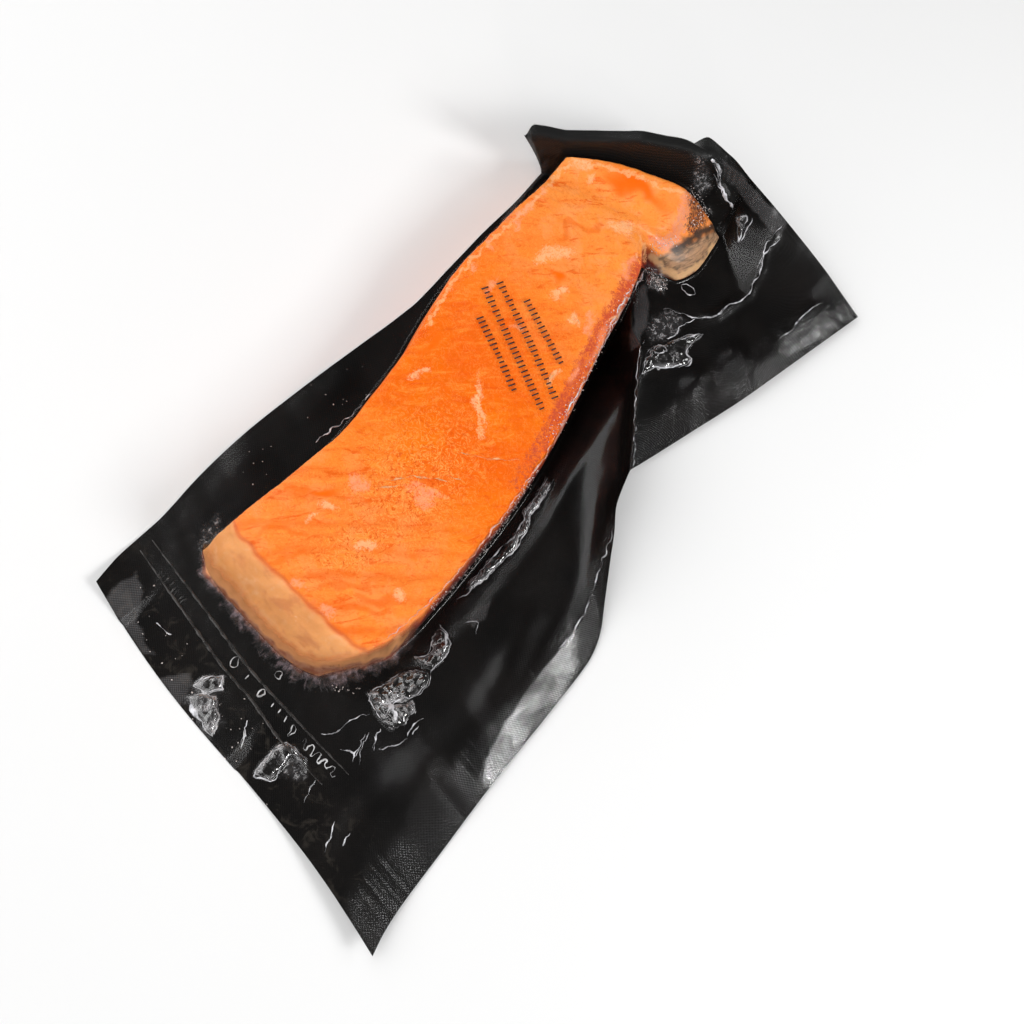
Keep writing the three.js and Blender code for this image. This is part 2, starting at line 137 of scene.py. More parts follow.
CREASE = [
    [0, 24, 9, 1], [0.84, 21, 42, 0.3], [1.08, 22.5, 66, 1.5], [1.2, 23, 91, 3], [1.42, 18, 136, 3],
    [1.57, 7.5, 166, 4], [1.68, 1, 186, 7], [1.79, -5, 204, 12], [1.865, -13, 216, 19],
    [1.885, -12, 222, 4], [1.905, -9, 229, 3], [1.945, -5, 247, 2.5], [2.01, -3.5, 273, 2.5],
]
POUCH_RIGHT = [
    [0, 78, 4.5, 6], [0.18, 75.6, 12, 4], [0.42, 73.6, 22, 2], [0.84, 71, 40, 0.6],
    [1.1, 66.3, 69, 1], [1.3, 61.6, 107, 1.2], [1.42, 58.4, 128, 1], [1.5, 54, 137, 2],
    [1.57, 47.8, 144, 5], [1.68, 39, 153, 12], [1.79, 28, 165.5, 18.5], [1.865, 16.5, 179.1, 25],
    [1.885, 17, 184.8, 3.5], [1.905, 18.8, 195, 3], [1.945, 23, 221, 3], [1.988, 26.2, 241, 3],
    [2.01, 27.2, 249, 3],
]

# Top line of the far margin: column coordinate, x, y, height
FAR_RIDGE = [
    [0, -102.3, 236, 24.5], [0.5, -100.8, 239.3, 28.6], [1, -93, 247.6, 27.8], [1.2, -81.4, 260.9, 30.3],
    [1.4, -71.2, 270.2, 34.5], [1.6, -60.5, 280, 34.3], [1.8, -47.6, 293, 31], [2, -34, 299, 24],
    [2.33, -8, 305.8, 14], [2.67, 14, 309.2, 7.3], [3, 33.7, 309.8, 3],
]

# Height of the flesh along the fish: fraction of its length, height
FISH_HEIGHTS = [
    [0, 26.5], [0.12, 26.5], [0.3, 24.2], [0.5, 22.5], [0.7, 21.5], [0.87, 20.2],
    [0.945, 16.5], [0.97, 18.5], [1, 21.5],
]

# Soft swells of the film: x, y, height, radius
SWELLS = [
    (8, 232, 3.5, 9), (18, 254, 4.5, 10), (10, 280, 4, 12), (-8, 250, 3.5, 8), (24, 292, 2.5, 8),
    (47, 60, 2.2, 16), (40, 100, 2.5, 15), (-72, 80, 1.4, 8), (-76, 120, 1.6, 8), (-30, 26, 1.2, 14),
    (50, 25, 2, 14),
]

# Fine meshes in millimetres: cell sizes, gap between the films, ripples, lowest backing and least gap
FILM_CELL = 0.85
FLESH_CELL = 0.59
FINE_FILM_GAP = 0.35
RIPPLE = 0.03
LOWEST_BACKING = 0.12
LEAST_GAP = 0.2
# Border value of film that is far from any crumple, in millimetres
FAR_OUTSIDE = -9.0
# Noises: wavelength in millimetres and seed
LONG_RIPPLE = (14, 3)
SHORT_RIPPLE = (5, 4)
KNOT = (3.6, 5)
FINE_KNOT = (2.2, 6)
GROOVE_BEND = (16, 12)
PIT = (1.9, 21)
DIMPLE = (6, 22)
LONG_SWELL = (24, 23)
RIM_WOBBLE = (7, 31)
BEAD_SWELL = (5, 17)
BEAD_GRAIN = (2.4, 18)


# Small mathematics

def path(*numbers):
    """Points of a path or outline in the photograph, from a row of x, y, x, y and so on."""
    return list(zip(numbers[::2], numbers[1::2]))


def paths(*rows):
    return [path(*row) for row in rows]


def lerp(a, b, t):
    return a + (b - a) * t


def smoothstep(x, low, high):
    t = np.clip((x - low) / (high - low), 0.0, 1.0)
    return t * t * (3 - 2 * t)


def preserving(keys, values):
    """Shape-preserving cubic through values at keys, which never overshoots them."""
    keys = np.asarray(keys, float)
    wide = (-1,) + (1,) * (values.ndim - 1)
    slopes = np.diff(values, axis=0) / np.diff(keys).reshape(wide)
    before, after = slopes[:-1], slopes[1:]
    same = before * after > 0
    inner = np.where(same, 2 * before * after / np.where(same, before + after, 1.0), 0.0)
    tangents = np.concatenate([slopes[:1], inner, slopes[-1:]])

    def at(wanted):
        wanted = np.atleast_1d(np.asarray(wanted, float))
        i = np.clip(np.searchsorted(keys, wanted) - 1, 0, len(keys) - 2)
        step = (keys[i + 1] - keys[i]).reshape(wide)
        t = np.clip((wanted - keys[i]).reshape(wide) / step, 0, 1)
        blend = t * t * (3 - 2 * t)
        leave = t * (1 - t) ** 2 * step * tangents[i]
        arrive = t * t * (t - 1) * step * tangents[i + 1]
        return values[i] * (1 - blend) + values[i + 1] * blend + leave + arrive

    return at


def track(stations):
    table = np.array(stations, float)
    return preserving(table[:, 0], table[:, 1:])


def unit(vectors):
    length = np.linalg.norm(vectors, axis=-1, keepdims=True)
    return vectors / np.maximum(length, 1e-9)


def waves(places, scale, seed, count=22):
    """Smooth noise between about -1 and 1, as a sum of plane waves near one wavelength."""
    draw = np.random.default_rng(seed)
    total = np.zeros(places.shape[:-1])
    for _ in range(count):
        angle, phase = draw.uniform(0, 2 * math.pi, 2)
        length = scale * draw.uniform(0.7, 1.5)
        along = places[..., 0] * math.cos(angle) + places[..., 1] * math.sin(angle)
        total += np.sin(2 * math.pi * along / length + phase)
    return total / math.sqrt(count)


# The camera of the photograph

VIEW = np.array([0, math.cos(CAMERA_DOWN), -math.sin(CAMERA_DOWN)])
LEVEL_UP = np.array([0, math.sin(CAMERA_DOWN), math.cos(CAMERA_DOWN)])
RIGHT = np.array([1.0, 0, 0])
IMAGE_RIGHT = math.cos(CAMERA_ROLL) * RIGHT + math.sin(CAMERA_ROLL) * LEVEL_UP
IMAGE_UP = math.cos(CAMERA_ROLL) * LEVEL_UP - math.sin(CAMERA_ROLL) * RIGHT
CAMERA_PLACE = np.array([0, 0, CAMERA_HEIGHT])


def photo_pixels(points):
    """Pixel of the photograph for each point, and the millimetres that one pixel spans there."""
    ray = points - CAMERA_PLACE
    depth = ray @ VIEW
    across = PHOTO_SIDE / 2 + FOCAL_PX * (ray @ IMAGE_RIGHT) / depth
    down = PHOTO_SIDE / 2 - FOCAL_PX * (ray @ IMAGE_UP) / depth
    return np.stack([across, down], axis=-1), depth / FOCAL_PX


def pixel_ray(pixel):
    across = (pixel[0] - PHOTO_SIDE / 2) / FOCAL_PX
    up = (PHOTO_SIDE / 2 - pixel[1]) / FOCAL_PX
    return unit(VIEW + across * IMAGE_RIGHT + up * IMAGE_UP)


# The same coarse surfaces as the solids

LEFT_EDGE = track(POUCH_LEFT)
LEFT_FOOT = track(FISH_LEFT)
RIGHT_FOOT = track(FISH_RIGHT)
CREASE_LINE = track(CREASE)
RIGHT_EDGE = track(POUCH_RIGHT)
RIDGE_LINE = track(FAR_RIDGE)
HEIGHT_ALONG = track(FISH_HEIGHTS)


def station(line, key):
    point = line(key)[0]
    return point if len(point) == 3 else np.append(point, FILM / 2)


def spread_foot(line, key, side):
    """Point beside the fish where the two films meet, square to its foot."""
    along = unit(station(line, key + KEY_STEP) - station(line, key - KEY_STEP))
    return station(line, key) + side * FOOT_SPREAD * np.array([along[1], -along[0], 0])


def fish_rows():
    near = [inset / FISH_LENGTH for inset in NEAR_RIM]
    body = [lerp(near[-1], BODY_END, (i + 1) / BODY_ROWS) for i in range(BODY_ROWS)]
    return near + body + NOTCH_ROWS + [1 - inset / FISH_LENGTH for inset in FAR_RIM]


def fish_columns(width):
    left = [inset / width for inset in LEFT_RIM]
    right = [1 - inset / width for inset in RIGHT_RIM]
    inner = [lerp(left[-1], right[0], (i + 1) / BODY_COLUMNS) for i in range(BODY_COLUMNS - 1)]
    return np.array(left + inner + right)


def rises(count, first, last):
    """Share of the full height on each row or column, from the rims' own shares."""
    share = np.ones(count)
    share[:len(first)] = first
    share[count - len(last):] = last
    return share


def fish_row_plan(key):
    left, right = station(LEFT_FOOT, key), station(RIGHT_FOOT, key)
    start, foot, end = NEAR_BULGE_KEYS
    far_share = smoothstep(key, *FAR_BULGE_KEYS)
    near_share = smoothstep(key, start, foot) * (1 - smoothstep(key, foot, end))
    across = right - left
    outward = unit(np.array([-across[1], across[0], 0]))
    s = fish_columns(np.linalg.norm(across))[:, None]
    bow = lerp(*FAR_BULGE, s) * far_share - NEAR_BULGE * near_share
    return left + across * s + outward * bow * (1 - (2 * s - 1) ** 4)


def flesh_height(s, t):
    crown = CROWN_HEIGHT * np.sin(math.pi * s) - CROWN_DROP
    roll = ROLL_HEIGHT * np.sin(ROLL_TURNS[0] * t + ROLL_TURNS[1] * s)
    body = HEIGHT_ALONG(t)[0, 0] + crown + roll
    flap_start = lerp(*FLAP_STARTS, smoothstep(t, FLAP_ROWS[0], 1))
    slide = np.clip((s - flap_start) / (1 - flap_start), 0, 1)
    return lerp(body, lerp(body, FLAP_HEIGHT, slide), smoothstep(t, *FLAP_ROWS))


def coarse_flesh():
    rows = fish_rows()
    row_rise = rises(len(rows), NEAR_RIM_RISE, FAR_RIM_RISE)
    grid = []
    for t, share in zip(rows, row_rise):
        plan = fish_row_plan(1 + t)
        s = fish_columns(np.linalg.norm(plan[-1] - plan[0]))
        rise = share * rises(len(s), LEFT_RIM_RISE, RIGHT_RIM_RISE)
        plan[:, 2] = FISH_BASE + SKIRT_HEIGHT + (flesh_height(s, t) - SKIRT_HEIGHT) * rise
        grid.append(plan)
    return np.array(grid)


def swell_height(points):
    total = np.zeros(len(points))
    for x, y, height, radius in SWELLS:
        away = np.hypot(points[:, 0] - x, points[:, 1] - y) / radius
        total += height * np.exp(-away * away)
    return total


def spaced(start, end, fractions):
    return start + (end - start) * fractions[:, None]


def backing_row(key):
    left, fold, right = [station(line, key) for line in (LEFT_EDGE, CREASE_LINE, RIGHT_EDGE)]
    meet_left = spread_foot(LEFT_FOOT, key, -1)
    side = spaced(left, meet_left, LEFT_FRACTIONS)
    side[:, 2] += swell_height(side) * (1 - LEFT_FRACTIONS)
    beside = spaced(spread_foot(RIGHT_FOOT, key, 1), fold, CREASE_FRACTIONS)
    panel = spaced(fold, right, PANEL_FRACTIONS)
    panel[:, 2] += swell_height(panel) * np.minimum(1, 2 * PANEL_FRACTIONS)
    row = np.concatenate([side, meet_left[None], fish_row_plan(key), beside, panel])
    stray = MOUTH_WAVE * max(0, 1 - key / MOUTH_WAVE_END)
    across = (row[:, 0] - left[0]) / (right[0] - left[0])
    row[:, 1] -= stray * np.sin(2 * math.pi * across)
    return row


def column_coordinates():
    """Coordinate of each column: 1 and 2 are the sides of the fish, 3 is the right edge of the pouch."""
    far = fish_row_plan(2)
    across = fish_columns(np.linalg.norm(far[-1] - far[0]))
    crease = lerp(2, CREASE_COLUMN, CREASE_FRACTIONS)
    panel = lerp(CREASE_COLUMN, 3, PANEL_FRACTIONS)
    return np.concatenate([LEFT_FRACTIONS, [1], lerp(*FISH_COLUMNS, across), crease, panel])


def fold_steps(up, back, share):
    """Turn of the film over the far ridge, as steps away from the top of the wall."""
    turn = min(1, FOLD_TURN_RATE * share)
    arc = lerp(*FOLD_ARCS, turn) / 3
    tip = np.zeros(3)
    steps = []
    for length, part in ((arc, 1 / 6), (arc, 1 / 2), (arc, 5 / 6), (1 + FOLD_HANG * share, 0.97)):
        angle = math.pi * turn * part
        tip = tip + up * length * math.cos(angle) + back * length * math.sin(angle)
        steps.append(tip)
    return np.array(steps)


def far_column(base, column):
    ridge = station(RIDGE_LINE, column)
    reach_power = lerp(*WALL_REACH, min(1, column))
    powers = np.array([reach_power, reach_power, WALL_RISE])
    up = unit((ridge - base) * powers)
    back = unit(AWAY - up * (AWAY @ up))
    share = 0.0 if column >= FOLD_SPAN else math.sin(math.pi * column / FOLD_SPAN)
    steps = fold_steps(up, back, share)
    top = ridge - up * (steps @ up).max() - back * RIDGE_DEPTH * (steps @ back).max()
    wall = [base + (top - base) * step ** powers for step in WALL_STEPS]
    return np.concatenate([wall, steps + top])


def coarse_backing():
    keys = MOUTH_KEYS + [NEAR_FOOT] + [1 + t for t in fish_rows()] + [FAR_FOOT]
    rows = np.array([backing_row(key) for key in keys])
    columns = [far_column(base, c) for base, c in zip(rows[-1], column_coordinates())]
    return np.concatenate([rows, np.array(columns).transpose(1, 0, 2)])


def grid_normals(grid):
    diagonal = grid[1:, 1:] - grid[:-1, :-1]
    cross = grid[1:, :-1] - grid[:-1, 1:]
    faces = unit(np.cross(diagonal, cross))
    total = np.zeros_like(grid)
    for rows in (slice(0, -1), slice(1, None)):
        for columns in (slice(0, -1), slice(1, None)):
            total[rows, columns] += faces
    return unit(total)


def coarse_clear(backing, flesh):
    """Clear film: on the backing round the fish, over the flesh on it, and taut to the far wall."""
    grid = backing + grid_normals(backing) * (FILM + CLEARANCE)
    drape = flesh + grid_normals(flesh) * DRAPE_GAP
    low = drape[..., 2] < FISH_BASE + SKIRT_HEIGHT + LOW_FLESH
    drape[low, 2] = FISH_BASE + SKIRT_HEIGHT + FOOT_LIFT
    foot = FIRST_ROW + len(flesh) - 1
    fish = slice(FIRST_COLUMN, FIRST_COLUMN + flesh.shape[1])
    grid[FIRST_ROW:foot + 1, fish] = drape
    wave = np.sin(2 * math.pi * np.arange(grid.shape[1]) / (grid.shape[1] - 1)) ** 2
    for j, share in enumerate(MOUTH_GAPE):
        grid[j, :, 2] += MOUTH_LIFT * share * wave
    start, end = grid[foot - 1, fish].copy(), grid[foot + TAUT_ROWS, fish].copy()
    taut = smoothstep(start[:, 2:], *TAUT_HEIGHTS)
    for j in range(TAUT_ROWS):
        straight = lerp(start, end, (j + 1) / (TAUT_ROWS + 1))
        grid[foot + j, fish] = lerp(grid[foot + j, fish], straight, taut)
    return grid


# Fine surfaces

def fine_index(grid, axis, cell):
    """Fractional indices along one axis, about one cell apart on the surface."""
    lengths = np.linalg.norm(np.diff(grid, axis=axis), axis=2)
    longest = np.quantile(lengths, 0.8, axis=1 - axis)
    counts = np.maximum(1, np.round(longest / cell)).astype(int)
    parts = [i + np.arange(n) / n for i, n in enumerate(counts)]
    return np.append(np.concatenate(parts), len(counts))


def refine(grid, rows, columns):
    tall = preserving(np.arange(grid.shape[0]), grid)(rows)
    wide = preserving(np.arange(grid.shape[1]), tall.transpose(1, 0, 2))(columns)
    return wide.transpose(1, 0, 2)


BACKING = coarse_backing()
FLESH = coarse_flesh()
CLEAR = coarse_clear(BACKING, FLESH)
FILM_ROWS = fine_index(BACKING, 0, FILM_CELL)
FILM_COLUMNS = fine_index(BACKING, 1, FILM_CELL)
FISH_CORNER = np.array([FLESH[..., 0].min(), FLESH[..., 1].min(), FISH_BASE])
SHIFT = np.array(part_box("salmon_portion")[0]) / MM - FISH_CORNER


# Marks on the film, as paths of photograph pixels; first those that several tables share

CORNER_FOLD = path(714, 162, 717, 172, 720, 184, 726, 196, 733, 208)
WING_FOLD = path(782, 226, 765, 247, 762, 267, 752, 286, 748, 295, 730, 305, 715, 316, 695, 319)
TIP_FOLD = path(819, 304, 801, 318, 791, 330, 779, 339)
MOUTH_BUBBLE = path(193, 684, 203, 678, 223, 676, 221, 689, 206, 692)
MOUTH_CRUMPLE = path(286, 744, 266, 757, 254, 775, 272, 780, 283, 763, 291, 754, 307, 772)
WING_CRUMPLE = path(
    672, 342, 686, 336, 703, 334, 696, 341, 689, 347, 686, 354, 692, 359, 687, 365, 672, 367, 655, 368,
    643, 374, 645, 360
)
CORNER_BUBBLE = path(738, 217, 747, 217, 743, 230, 738, 241)
# Path, half width and height in millimetres
CHANNELS = [
    (path(551, 478, 539, 499, 527, 517, 523, 528, 511, 546, 500, 556, 482, 575, 466, 591), 1.5, 0.9),
    (path(316, 500, 290, 520, 262, 545), 0.9, 0.4),
]
FOLDS = [
    (path(634, 469, 626, 490, 603, 560, 580, 621, 545, 668, 500, 730, 470, 790), 5.0, 2.0),
    (CORNER_FOLD, 1.8, 1.2), (WING_FOLD, 2.4, 1.2), (TIP_FOLD, 2.2, 1.0),
    (path(540, 600, 520, 640, 490, 700, 440, 780), 6.0, 1.0),
]
# Outline and height in millimetres
POCKETS = [
    (path(439, 624, 446, 633, 450, 644, 447, 654, 440, 663, 432, 670, 424, 665, 415, 657, 424, 656,
     431, 650, 433, 641), 1.1),
    (path(397, 676, 412, 668, 428, 674, 429, 684, 422, 693, 410, 697, 398, 700, 388, 706, 376, 704,
     369, 693, 381, 686), 1.0),
    (path(371, 697, 388, 707, 412, 700, 414, 712, 404, 727, 390, 728, 378, 715), 1.2), (MOUTH_BUBBLE, 0.9),
    (path(186, 697, 200, 692, 216, 696, 219, 715, 214, 736, 200, 722), 1.2),
    (MOUTH_CRUMPLE + [(296, 746)], 1.3), (WING_CRUMPLE + [(655, 346)], 0.9),
    (path(648, 270, 656, 266, 666, 276, 668, 286, 656, 292, 648, 283), 1.1), (CORNER_BUBBLE, 0.8),
]
CREASES = paths(
    [549, 478, 538, 493, 526, 513, 520, 526, 507, 544, 500, 549, 482, 570, 468, 587],
    [554, 478, 540, 504, 528, 520, 527, 528, 516, 548, 500, 563, 482, 580, 468, 593, 457, 599],
    [643, 340, 637, 370, 635, 420, 634, 469], [634, 469, 626, 490, 618, 513, 603, 560, 580, 621, 559, 650],
    [439, 624, 446, 633, 450, 644, 447, 654, 440, 662, 432, 670, 429, 683, 422, 693],
    [433, 641, 430, 650, 424, 657, 414, 657], [397, 676, 381, 686, 369, 693, 372, 705, 380, 718],
    [422, 693, 410, 697, 398, 700, 392, 706, 384, 716], [322, 734, 335, 733, 345, 725, 357, 717, 370, 713],
    [369, 732, 363, 743, 356, 756], [365, 734, 358, 748, 352, 762], [362, 746, 360, 756, 359, 765],
    [374, 751, 375, 744, 375, 737], [340, 749, 348, 752, 354, 753, 360, 745],
    [378, 749, 392, 746, 407, 739], [407, 737, 410, 728, 423, 719], [466, 621, 479, 624, 475, 634],
    [756, 268, 766, 252, 779, 240], [380, 728, 376, 738, 373, 749], [419, 725, 412, 735],
    [715, 174, 720, 190, 727, 201], [752, 218, 747, 229, 741, 240],
    [686, 322, 680, 327, 678, 333, 667, 339], [646, 354, 655, 345, 666, 347, 667, 350, 660, 353, 652, 350],
    [681, 285, 683, 291, 689, 295, 695, 293, 693, 288, 687, 284, 681, 285],
    [663, 309, 674, 311, 686, 315, 700, 318, 714, 315, 728, 306], [700, 333, 689, 337, 672, 343],
    [646, 268, 637, 286, 620, 314, 604, 344, 596, 358], [597, 360, 586, 378, 577, 394, 568, 410, 560, 428],
    [634, 284, 622, 303, 609, 328], [317, 442, 333, 428, 350, 416, 376, 388],
    [334, 820, 330, 838, 324, 852], [316, 781, 309, 790, 305, 803], [247, 719, 245, 731, 242, 744],
    [157, 624, 166, 632, 173, 634], [349, 833, 343, 846],
) + [
    CORNER_FOLD, WING_FOLD + [(686, 322)], TIP_FOLD, MOUTH_BUBBLE, MOUTH_CRUMPLE,
    WING_CRUMPLE + [(646, 354)], CORNER_BUBBLE + CORNER_BUBBLE[:1],
]
WIDE_CREASES = paths(
    [711, 159, 717, 164, 720, 176, 721, 184], [721, 188, 726, 197, 732, 206],
    [441, 630, 447, 638, 446, 648], [386, 702, 393, 710, 396, 720], [190, 702, 196, 716, 205, 728],
)
# Path of the bead along the fish's right edge, coloured as a painted highlight
EDGE_HIGHLIGHT_LINE = path(
    645, 270, 627, 297, 607, 334, 592, 366, 575, 402, 555, 440, 530, 478, 500, 520, 468, 561, 451, 580,
    430, 602, 405, 624, 378, 645
)
FISH_CREASES = paths(
    [461, 453, 479, 457, 499, 459, 519, 460], [379, 479, 395, 480, 410, 477, 433, 478, 447, 481],
    [376, 488, 392, 487, 407, 485], [440, 475, 452, 477, 461, 481], [556, 372, 551, 378, 546, 386],
    [576, 312, 578, 319, 580, 327],
)
SEAL_LINES = paths(
    [152, 540, 200, 603, 249, 668, 297, 721, 349, 775],
    [140, 550, 183, 611, 226, 671, 249, 697, 281, 741, 322, 785],
)
# Pale patches on the film: partly the milky film standing free of the backing, partly painted sheen on the
# embossing
HAZE_AND_SHEEN_PATCHES = paths(
    [103, 598, 136, 571, 140, 585, 141, 605, 136, 622, 146, 640, 152, 655, 145, 656, 130, 635],
    [158, 678, 190, 674, 193, 683, 186, 696, 180, 705, 170, 698],
    [500, 222, 541, 166, 549, 160, 546, 172, 520, 200, 506, 222],
    [464, 623, 478, 607, 490, 602, 484, 617, 474, 628],
    [641, 284, 648, 286, 647, 318, 641, 345, 632, 352, 630, 336, 637, 312],
    [722, 162, 732, 166, 760, 196, 786, 222, 780, 238, 760, 220, 742, 196, 728, 182],
)
# Patch of the black film that gets lighter blotches
BLOTCHED_PATCH = path(
    100, 560, 150, 540, 210, 640, 290, 730, 370, 830, 370, 900, 300, 900, 180, 760, 100, 640
)
SHEEN_PATCHES = paths(
    [484, 784, 484, 756, 492, 728, 508, 706, 530, 692, 546, 668, 560, 642, 570, 624, 576, 640, 575, 664,
     566, 690, 546, 712, 528, 734, 510, 760, 494, 786],
    [778, 346, 800, 326, 846, 304, 856, 312, 826, 336, 792, 352],
)
# Patches of speckled painted highlights on the film
SPECKLED_HIGHLIGHT_PATCHES = paths(
    [198, 548, 204, 530, 217, 516, 220, 526, 212, 538, 203, 550],
    [193, 684, 206, 692, 222, 690, 223, 677, 216, 700, 221, 722, 213, 735, 200, 722, 186, 703],
    [281, 757, 292, 757, 306, 774, 298, 779, 283, 776],
    [648, 266, 660, 264, 668, 278, 664, 290, 652, 290, 646, 278],
    [652, 316, 668, 312, 686, 320, 678, 328, 664, 338, 652, 340, 648, 328],
    [692, 158, 706, 156, 709, 184, 703, 196, 697, 186],
)
# Name, outlines, and how soft their edges are in millimetres
FILM_PATCHES = [("haze_and_sheen", HAZE_AND_SHEEN_PATCHES, 0.4), ("speckled_highlight", SPECKLED_HIGHLIGHT_PATCHES, 1.6), ("sheen", SHEEN_PATCHES, 3.0)]
# Foot of the near end, as pixel and reach in mm of the frozen juice outside it; a pixel on the fish; and
# the length of the foot in mm
FRINGE = [
    (203, 538, 1.5), (205, 572, 3.5), (226, 592, 5.5), (252, 622, 6.5), (275, 646, 6.5), (302, 665, 7.5),
    (318, 669, 10.0), (345, 667, 11.0), (370, 662, 8.5), (390, 655, 5.5), (405, 641, 5.0), (420, 621, 3.5),
]
FRINGE_INSIDE = (330, 560)
FRINGE_LENGTH = 75.0


# Relief of the film

# Share of a path's length over which it fades at each end
END_FADE = 0.12
# Edges of the channels and pockets, and the depth at the ends of a channel and between them, in millimetres
CHANNEL_EDGE = (-0.6, 0.6)
POCKET_EDGE = (-0.7, 1.0)
CHANNEL_DEPTHS = (-1, 8)
# Where the frozen juice starts inside the foot and where it ends outside it, in millimetres
JUICE_START = (-5.0, 0.0)
JUICE_END = (11, 13)
# Unevenness of drawn shapes: reach in pixels, wavelength in millimetres, seed
FILM_STRAY = (1.6, 9.0, 51)
FRINGE_STRAY = (1.2, 5.0, 57)
PATCH_STRAY = (4.5, 14.0, 41)
LINE_STRAY = (1.5, 4.0, 45)
# Share of the short ripples beside the long ones, heights of both knots in millimetres, and their edge
SHORT_RIPPLE_SHARE = 0.5
KNOT_HEIGHT = 0.3
FINE_KNOT_HEIGHT = 0.2
KNOT_EDGE = (-0.2, 0.8)
# Shares of the ripples that reach the backing and that the embossed margin takes away
BACKING_RIPPLE = 0.8
MARGIN_CALM = 0.7
# How calm the film's gloss is on the fish, from 0 to 1
CALM_ON_FISH = 0.85
# Millimetres from the right edge over which the embossing ends, and how soft the edge of the patch of
# lighter blotches is
MARGIN_END = (12, 24)
BLOTCH_EDGE = 8.0


def path_distance(pixels, line, closed=False):
    """Distance in pixels from each pixel to a path, and how far along the path it is, from 0 to 1."""
    points = np.array(line + line[:1] if closed else line, float)
    lengths = np.linalg.norm(np.diff(points, axis=0), axis=1)
    before = np.concatenate([[0], np.cumsum(lengths)])
    best = np.full(pixels.shape[:-1], np.inf)
    along = np.zeros(pixels.shape[:-1])
    for i, (start, end) in enumerate(zip(points[:-1], points[1:])):
        step = end - start
        t = np.clip(((pixels - start) @ step) / (step @ step), 0, 1)
        away = np.linalg.norm(pixels - start - t[..., None] * step, axis=-1)
        nearer = away < best
        best = np.where(nearer, away, best)
        along = np.where(nearer, (before[i] + t * lengths[i]) / before[-1], along)
    return best, along


def inside(pixels, polygon):
    """Signed distance in pixels to a closed polygon, positive inside it."""
    away, _ = path_distance(pixels, polygon, closed=True)
    odd = np.zeros(pixels.shape[:-1], bool)
    x, y = pixels[..., 0], pixels[..., 1]
    for (x0, y0), (x1, y1) in zip(polygon, polygon[1:] + polygon[:1]):
        if y0 != y1:
            crosses = (y0 > y) != (y1 > y)
            odd ^= crosses & (x < x0 + (x1 - x0) * (y - y0) / (y1 - y0))
    return np.where(odd, away, -away)


def ends(along):
    """1 along a path, and falling to 0 at both of its ends."""
    return smoothstep(along, 0, END_FADE) * smoothstep(1 - along, 0, END_FADE)


def fold_relief(pixels, scale):
    """Soft ridges that both films share."""
    total = np.zeros(pixels.shape[:-1])
    for line, half_width, height in FOLDS:
        away, along = path_distance(pixels, line)
        total += height * np.exp(-(away * scale / half_width) ** 2) * ends(along)
    return total


def pocket_relief(pixels, scale):
    """Places where the clear film stands off the backing, and millimetres inside their outlines."""
    total = np.zeros(pixels.shape[:-1])
    border = np.full(pixels.shape[:-1], FAR_OUTSIDE)
    for line, half_width, height in CHANNELS:
        away, along = path_distance(pixels, line)
        depth = np.minimum(half_width - away * scale, lerp(*CHANNEL_DEPTHS, ends(along)))
        total += height * smoothstep(depth, *CHANNEL_EDGE)
        border = np.maximum(border, depth)
    for polygon, height in POCKETS:
        depth = inside(pixels, polygon) * scale
        total += height * smoothstep(depth, *POCKET_EDGE)
        border = np.maximum(border, depth)
    return total, border


# Meshes

def linked(name, data):
    """New object in the scene."""
    made = bpy.data.objects.new(name, data)
    bpy.context.scene.collection.objects.link(made)
    return made


def mesh_piece(name, points, faces, slot, material):
    """Object of one smooth mesh in the part's own frame."""
    mesh = bpy.data.meshes.new(name)
    mesh.from_pydata(((np.asarray(points) + SHIFT) * MM).tolist(), [], [list(face) for face in faces])
    mesh.update()
    mesh.shade_smooth()
    mesh.materials.append(material)
    made = linked(name, mesh)
    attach(made, "root")
    return made


def bead_piece(name, parts, slot, material):
    mesh_piece(name, *joined(parts), slot, material)


def grid_faces(rows, columns):
    first = (np.arange(rows - 1)[:, None] * columns + np.arange(columns - 1)).ravel()
    return np.stack([first, first + 1, first + columns + 1, first + columns], axis=1)


def set_values(piece, values):
    """Named numbers on the points of a piece, for its material."""
    for name, value in values.items():
        attribute = piece.data.attributes.new(name, "FLOAT", "POINT")
        attribute.data.foreach_set("value", np.asarray(value, np.float32).ravel())


def set_uv(piece, grid):
    """Flat coordinates of a film, in millimetres: across and along it."""
    across = np.linalg.norm(np.diff(grid, axis=1), axis=2)
    along = np.linalg.norm(np.diff(grid, axis=0), axis=2)
    u = np.pad(np.cumsum(across, axis=1), ((0, 0), (1, 0))).ravel()
    v = np.pad(np.cumsum(along, axis=0), ((1, 0), (0, 0))).ravel()
    corners = np.empty(len(piece.data.loops), np.int32)
    piece.data.loops.foreach_get("vertex_index", corners)
    layer = piece.data.uv_layers.new(name="film")
    layer.data.foreach_set("uv", np.stack([u[corners], v[corners]], axis=1).astype(np.float32).ravel())


def grid_piece(name, grid, slot, material, values):
    """A film as a fine mesh, with its flat coordinates and values."""
    piece = mesh_piece(name, grid.reshape(-1, 3), grid_faces(*grid.shape[:2]), slot, material)
    set_uv(piece, grid)
    set_values(piece, values)
    return piece


def fringe_values(pixels, scale):
    """Frozen juice at the near foot: 1 at the foot to 0 at its reach, millimetres along it, presence."""
    foot = [point[:2] for point in FRINGE]
    away, along = path_distance(pixels, foot)
    depth = np.where(inside(pixels, foot + [FRINGE_INSIDE]) > 0, -away, away) * scale
    reach = np.interp(along, np.linspace(0, 1, len(FRINGE)), [point[2] for point in FRINGE])
    wet = smoothstep(depth, *JUICE_START) * ends(along) * (1 - smoothstep(away * scale, *JUICE_END))
    return np.clip(1 - depth / reach, 0, 1.5), along * FRINGE_LENGTH, wet


